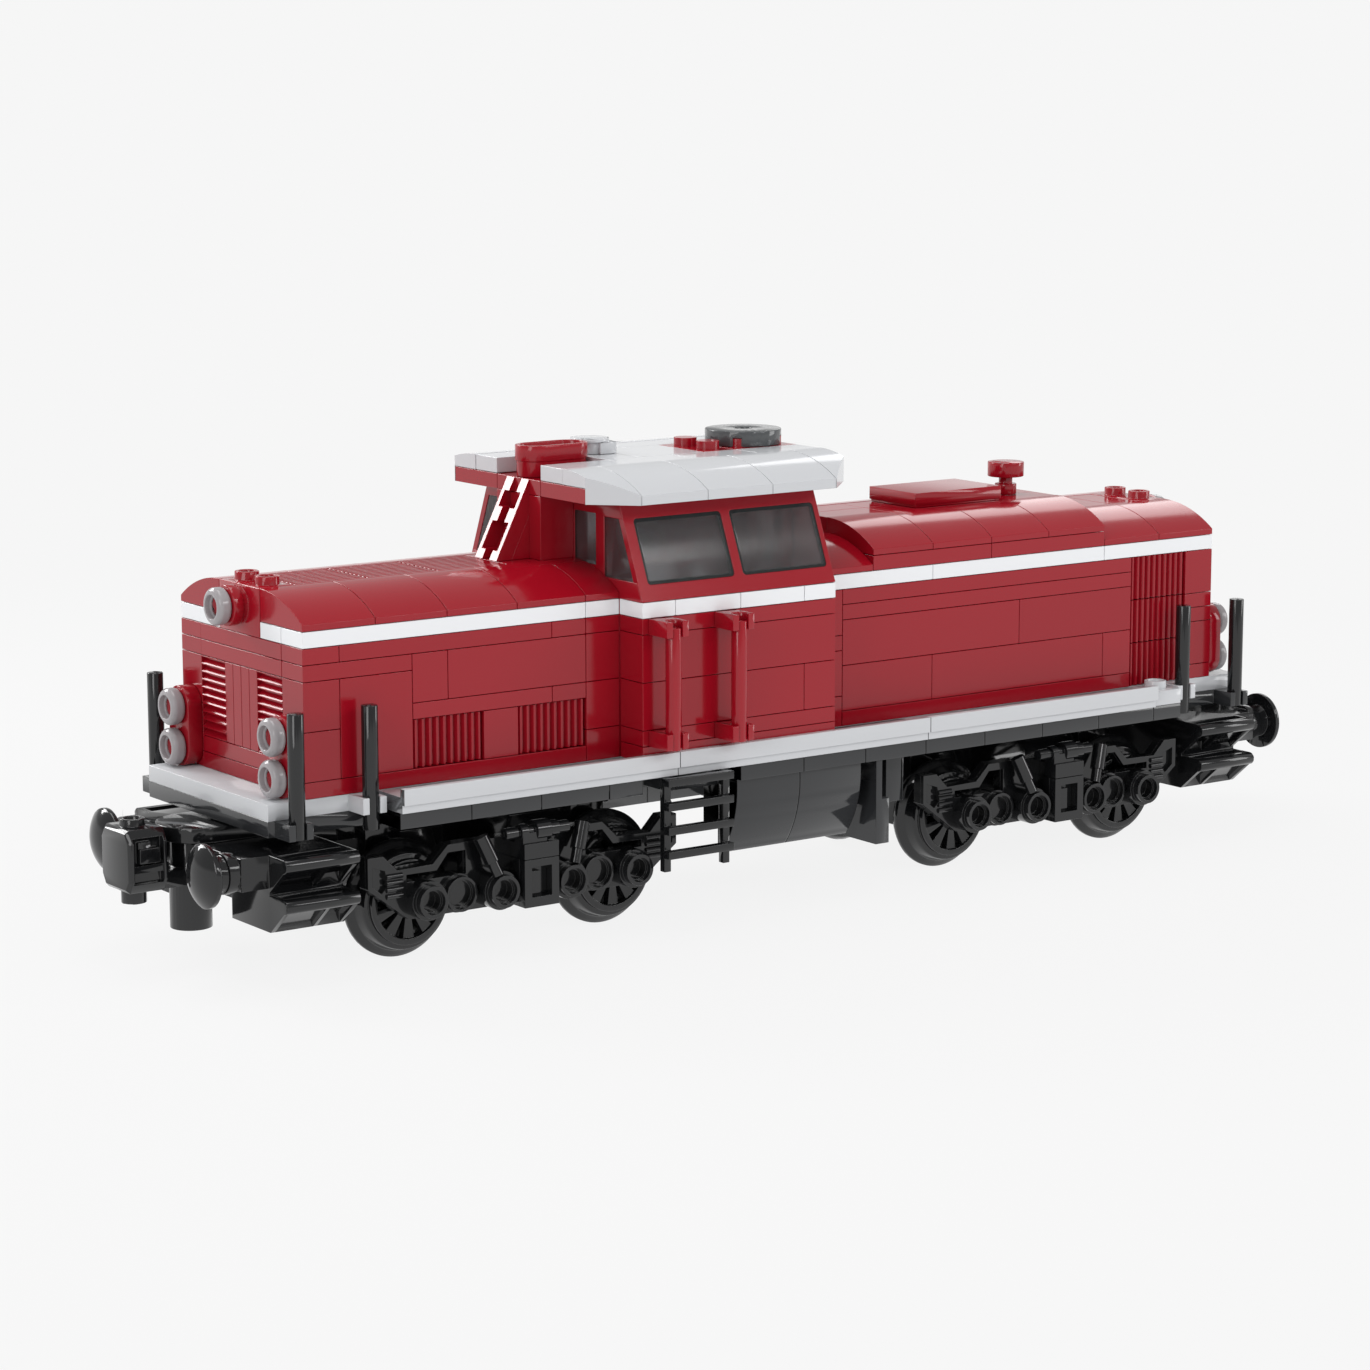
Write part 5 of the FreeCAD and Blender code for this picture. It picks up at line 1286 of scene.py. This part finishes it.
@dataclass
class Studio:
    """Pale floor, soft boxes and the camera at the photograph's angle."""

    backdrop: float = 0.922
    overhead: float = 0.48
    fade_height: Span = (0.08, 0.20)
    floor_half: float = 3.0
    floor_colour: tuple[float, ...] = (0.9, 0.9, 0.9, 1)
    fade: Span = (0.20, 0.55)
    shadow_share: float = 0.06
    camera_place: Point = (-0.457036, -0.627089, 0.178990)
    azimuth: float = -35.424
    elevation: float = 10.028
    roll: float = -0.102
    lens: float = 98.11
    sensor: float = 36.0
    clip_start: float = 0.01
    lamps: tuple[SoftBox, ...] = (
        SoftBox("top soft box", (-0.10, 0.05, 0.75), (0, 0, 0.03), (0.6, 0.3), 1.9),
        SoftBox("front soft box", (-0.75, -0.30, 0.35), (-0.05, 0, 0.04), (0.3, 0.4), 1.3),
        SoftBox("side soft box", (0.25, -0.95, 0.55), (0.02, 0, 0.04), (0.7, 0.2), 2.6),
        SoftBox("right soft box", (0.85, -0.55, 0.35), (0.05, 0, 0.04), (0.3, 0.4), 1.6),
        SoftBox("rear left soft box", (-0.28, 0.64, 0.50), (-0.10, 0, 0.06), (0.5, 0.25), 2.8),
        SoftBox("rear left small box", (-0.373, 0.626, 0.344), (-0.056, 0, 0.082), (0.16, 0.16), 1.1),
        SoftBox("rear right soft box", (0.72, 0.50, 0.47), (0.10, 0, 0.06), (0.34, 0.36), 0.80))

    def build(self) -> None:
        """Builds floor, world, lamps and camera."""
        self.build_floor()
        self.build_world()
        for lamp in self.lamps:
            lamp.build()
        self.build_camera()

    def build_floor(self) -> None:
        """Builds the pale floor, which keeps a faint shadow near the toy."""
        half = self.floor_half
        data = bpy.data.meshes.new("floor")
        corners = [(-half, -half, 0), (half, -half, 0), (half, half, 0), (-half, half, 0)]
        data.from_pydata(corners, [], [(0, 1, 2, 3)])
        floor = bpy.data.objects.new("floor", data)
        bpy.context.scene.collection.objects.link(floor)
        material = bpy.data.materials.new("pale floor")
        material.use_nodes = True
        graph = Graph(material.node_tree)
        graph.tree.nodes.clear()
        distance = graph.add("VectorMath", {0: graph.place()}, operation="LENGTH")["Value"]
        mix = graph.add("MixShader", {
            "Fac": graph.ramp(distance, self.fade, (1 - self.shadow_share, 1.0)),
            1: graph.add("BsdfDiffuse", {"Color": self.floor_colour})[0],
            2: graph.add("Emission", {"Color": (self.backdrop,) * 3 + (1,)})[0]})[0]
        graph.add("OutputMaterial", {"Surface": mix})
        data.materials.append(material)

    def build_world(self) -> None:
        """Sets the pale sweep round the toy, which grows dimmer overhead."""
        world = bpy.data.worlds.new("studio")
        bpy.context.scene.world = world
        world.use_nodes = True
        graph = Graph(world.node_tree)
        height = graph.add("SeparateXYZ", {0: graph.add("TexCoord", {})["Generated"]})["Z"]
        sweep = graph.ramp(height, self.fade_height, (self.backdrop, self.overhead))
        graph.feed(world.node_tree.nodes["Background"], {"Color": sweep})

    def build_camera(self) -> None:
        """Places the camera where the photograph was taken from."""
        data = bpy.data.cameras.new("camera")
        data.lens, data.sensor_width, data.clip_start = self.lens, self.sensor, self.clip_start
        camera = bpy.data.objects.new("camera", data)
        turn, rise, roll = (math.radians(angle) for angle in (self.azimuth, self.elevation, self.roll))
        back = Vector((math.sin(turn) * math.cos(rise), -math.cos(turn) * math.cos(rise), math.sin(rise)))
        facing = (-back).to_track_quat("-Z", "Y").to_matrix().to_4x4()
        camera.matrix_world = Matrix.Translation(self.camera_place) @ facing @ Matrix.Rotation(roll, 4, "Z")
        bpy.context.scene.collection.objects.link(camera)
        bpy.context.scene.camera = camera


def main() -> None:
    """Builds the dressed locomotive and its studio."""
    logging.basicConfig(level=logging.INFO, format="%(name)s: %(message)s")
    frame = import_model()
    bpy.context.scene.view_settings.view_transform = "Standard"
    for part in (SHORT_HOOD, LONG_HOOD, HoodNoses(), Stripe(), HoodRoofs(), CAB_SIDES, WindowPanels(),
                 CabRoof(), Duct(), SideFrames("near", -BOGIE_X), SideFrames("far", BOGIE_X)):
        part.build()
    KeptNodes().dress(frame["nodes"])
    Studio().build()


if __name__ == "__main__":
    main()
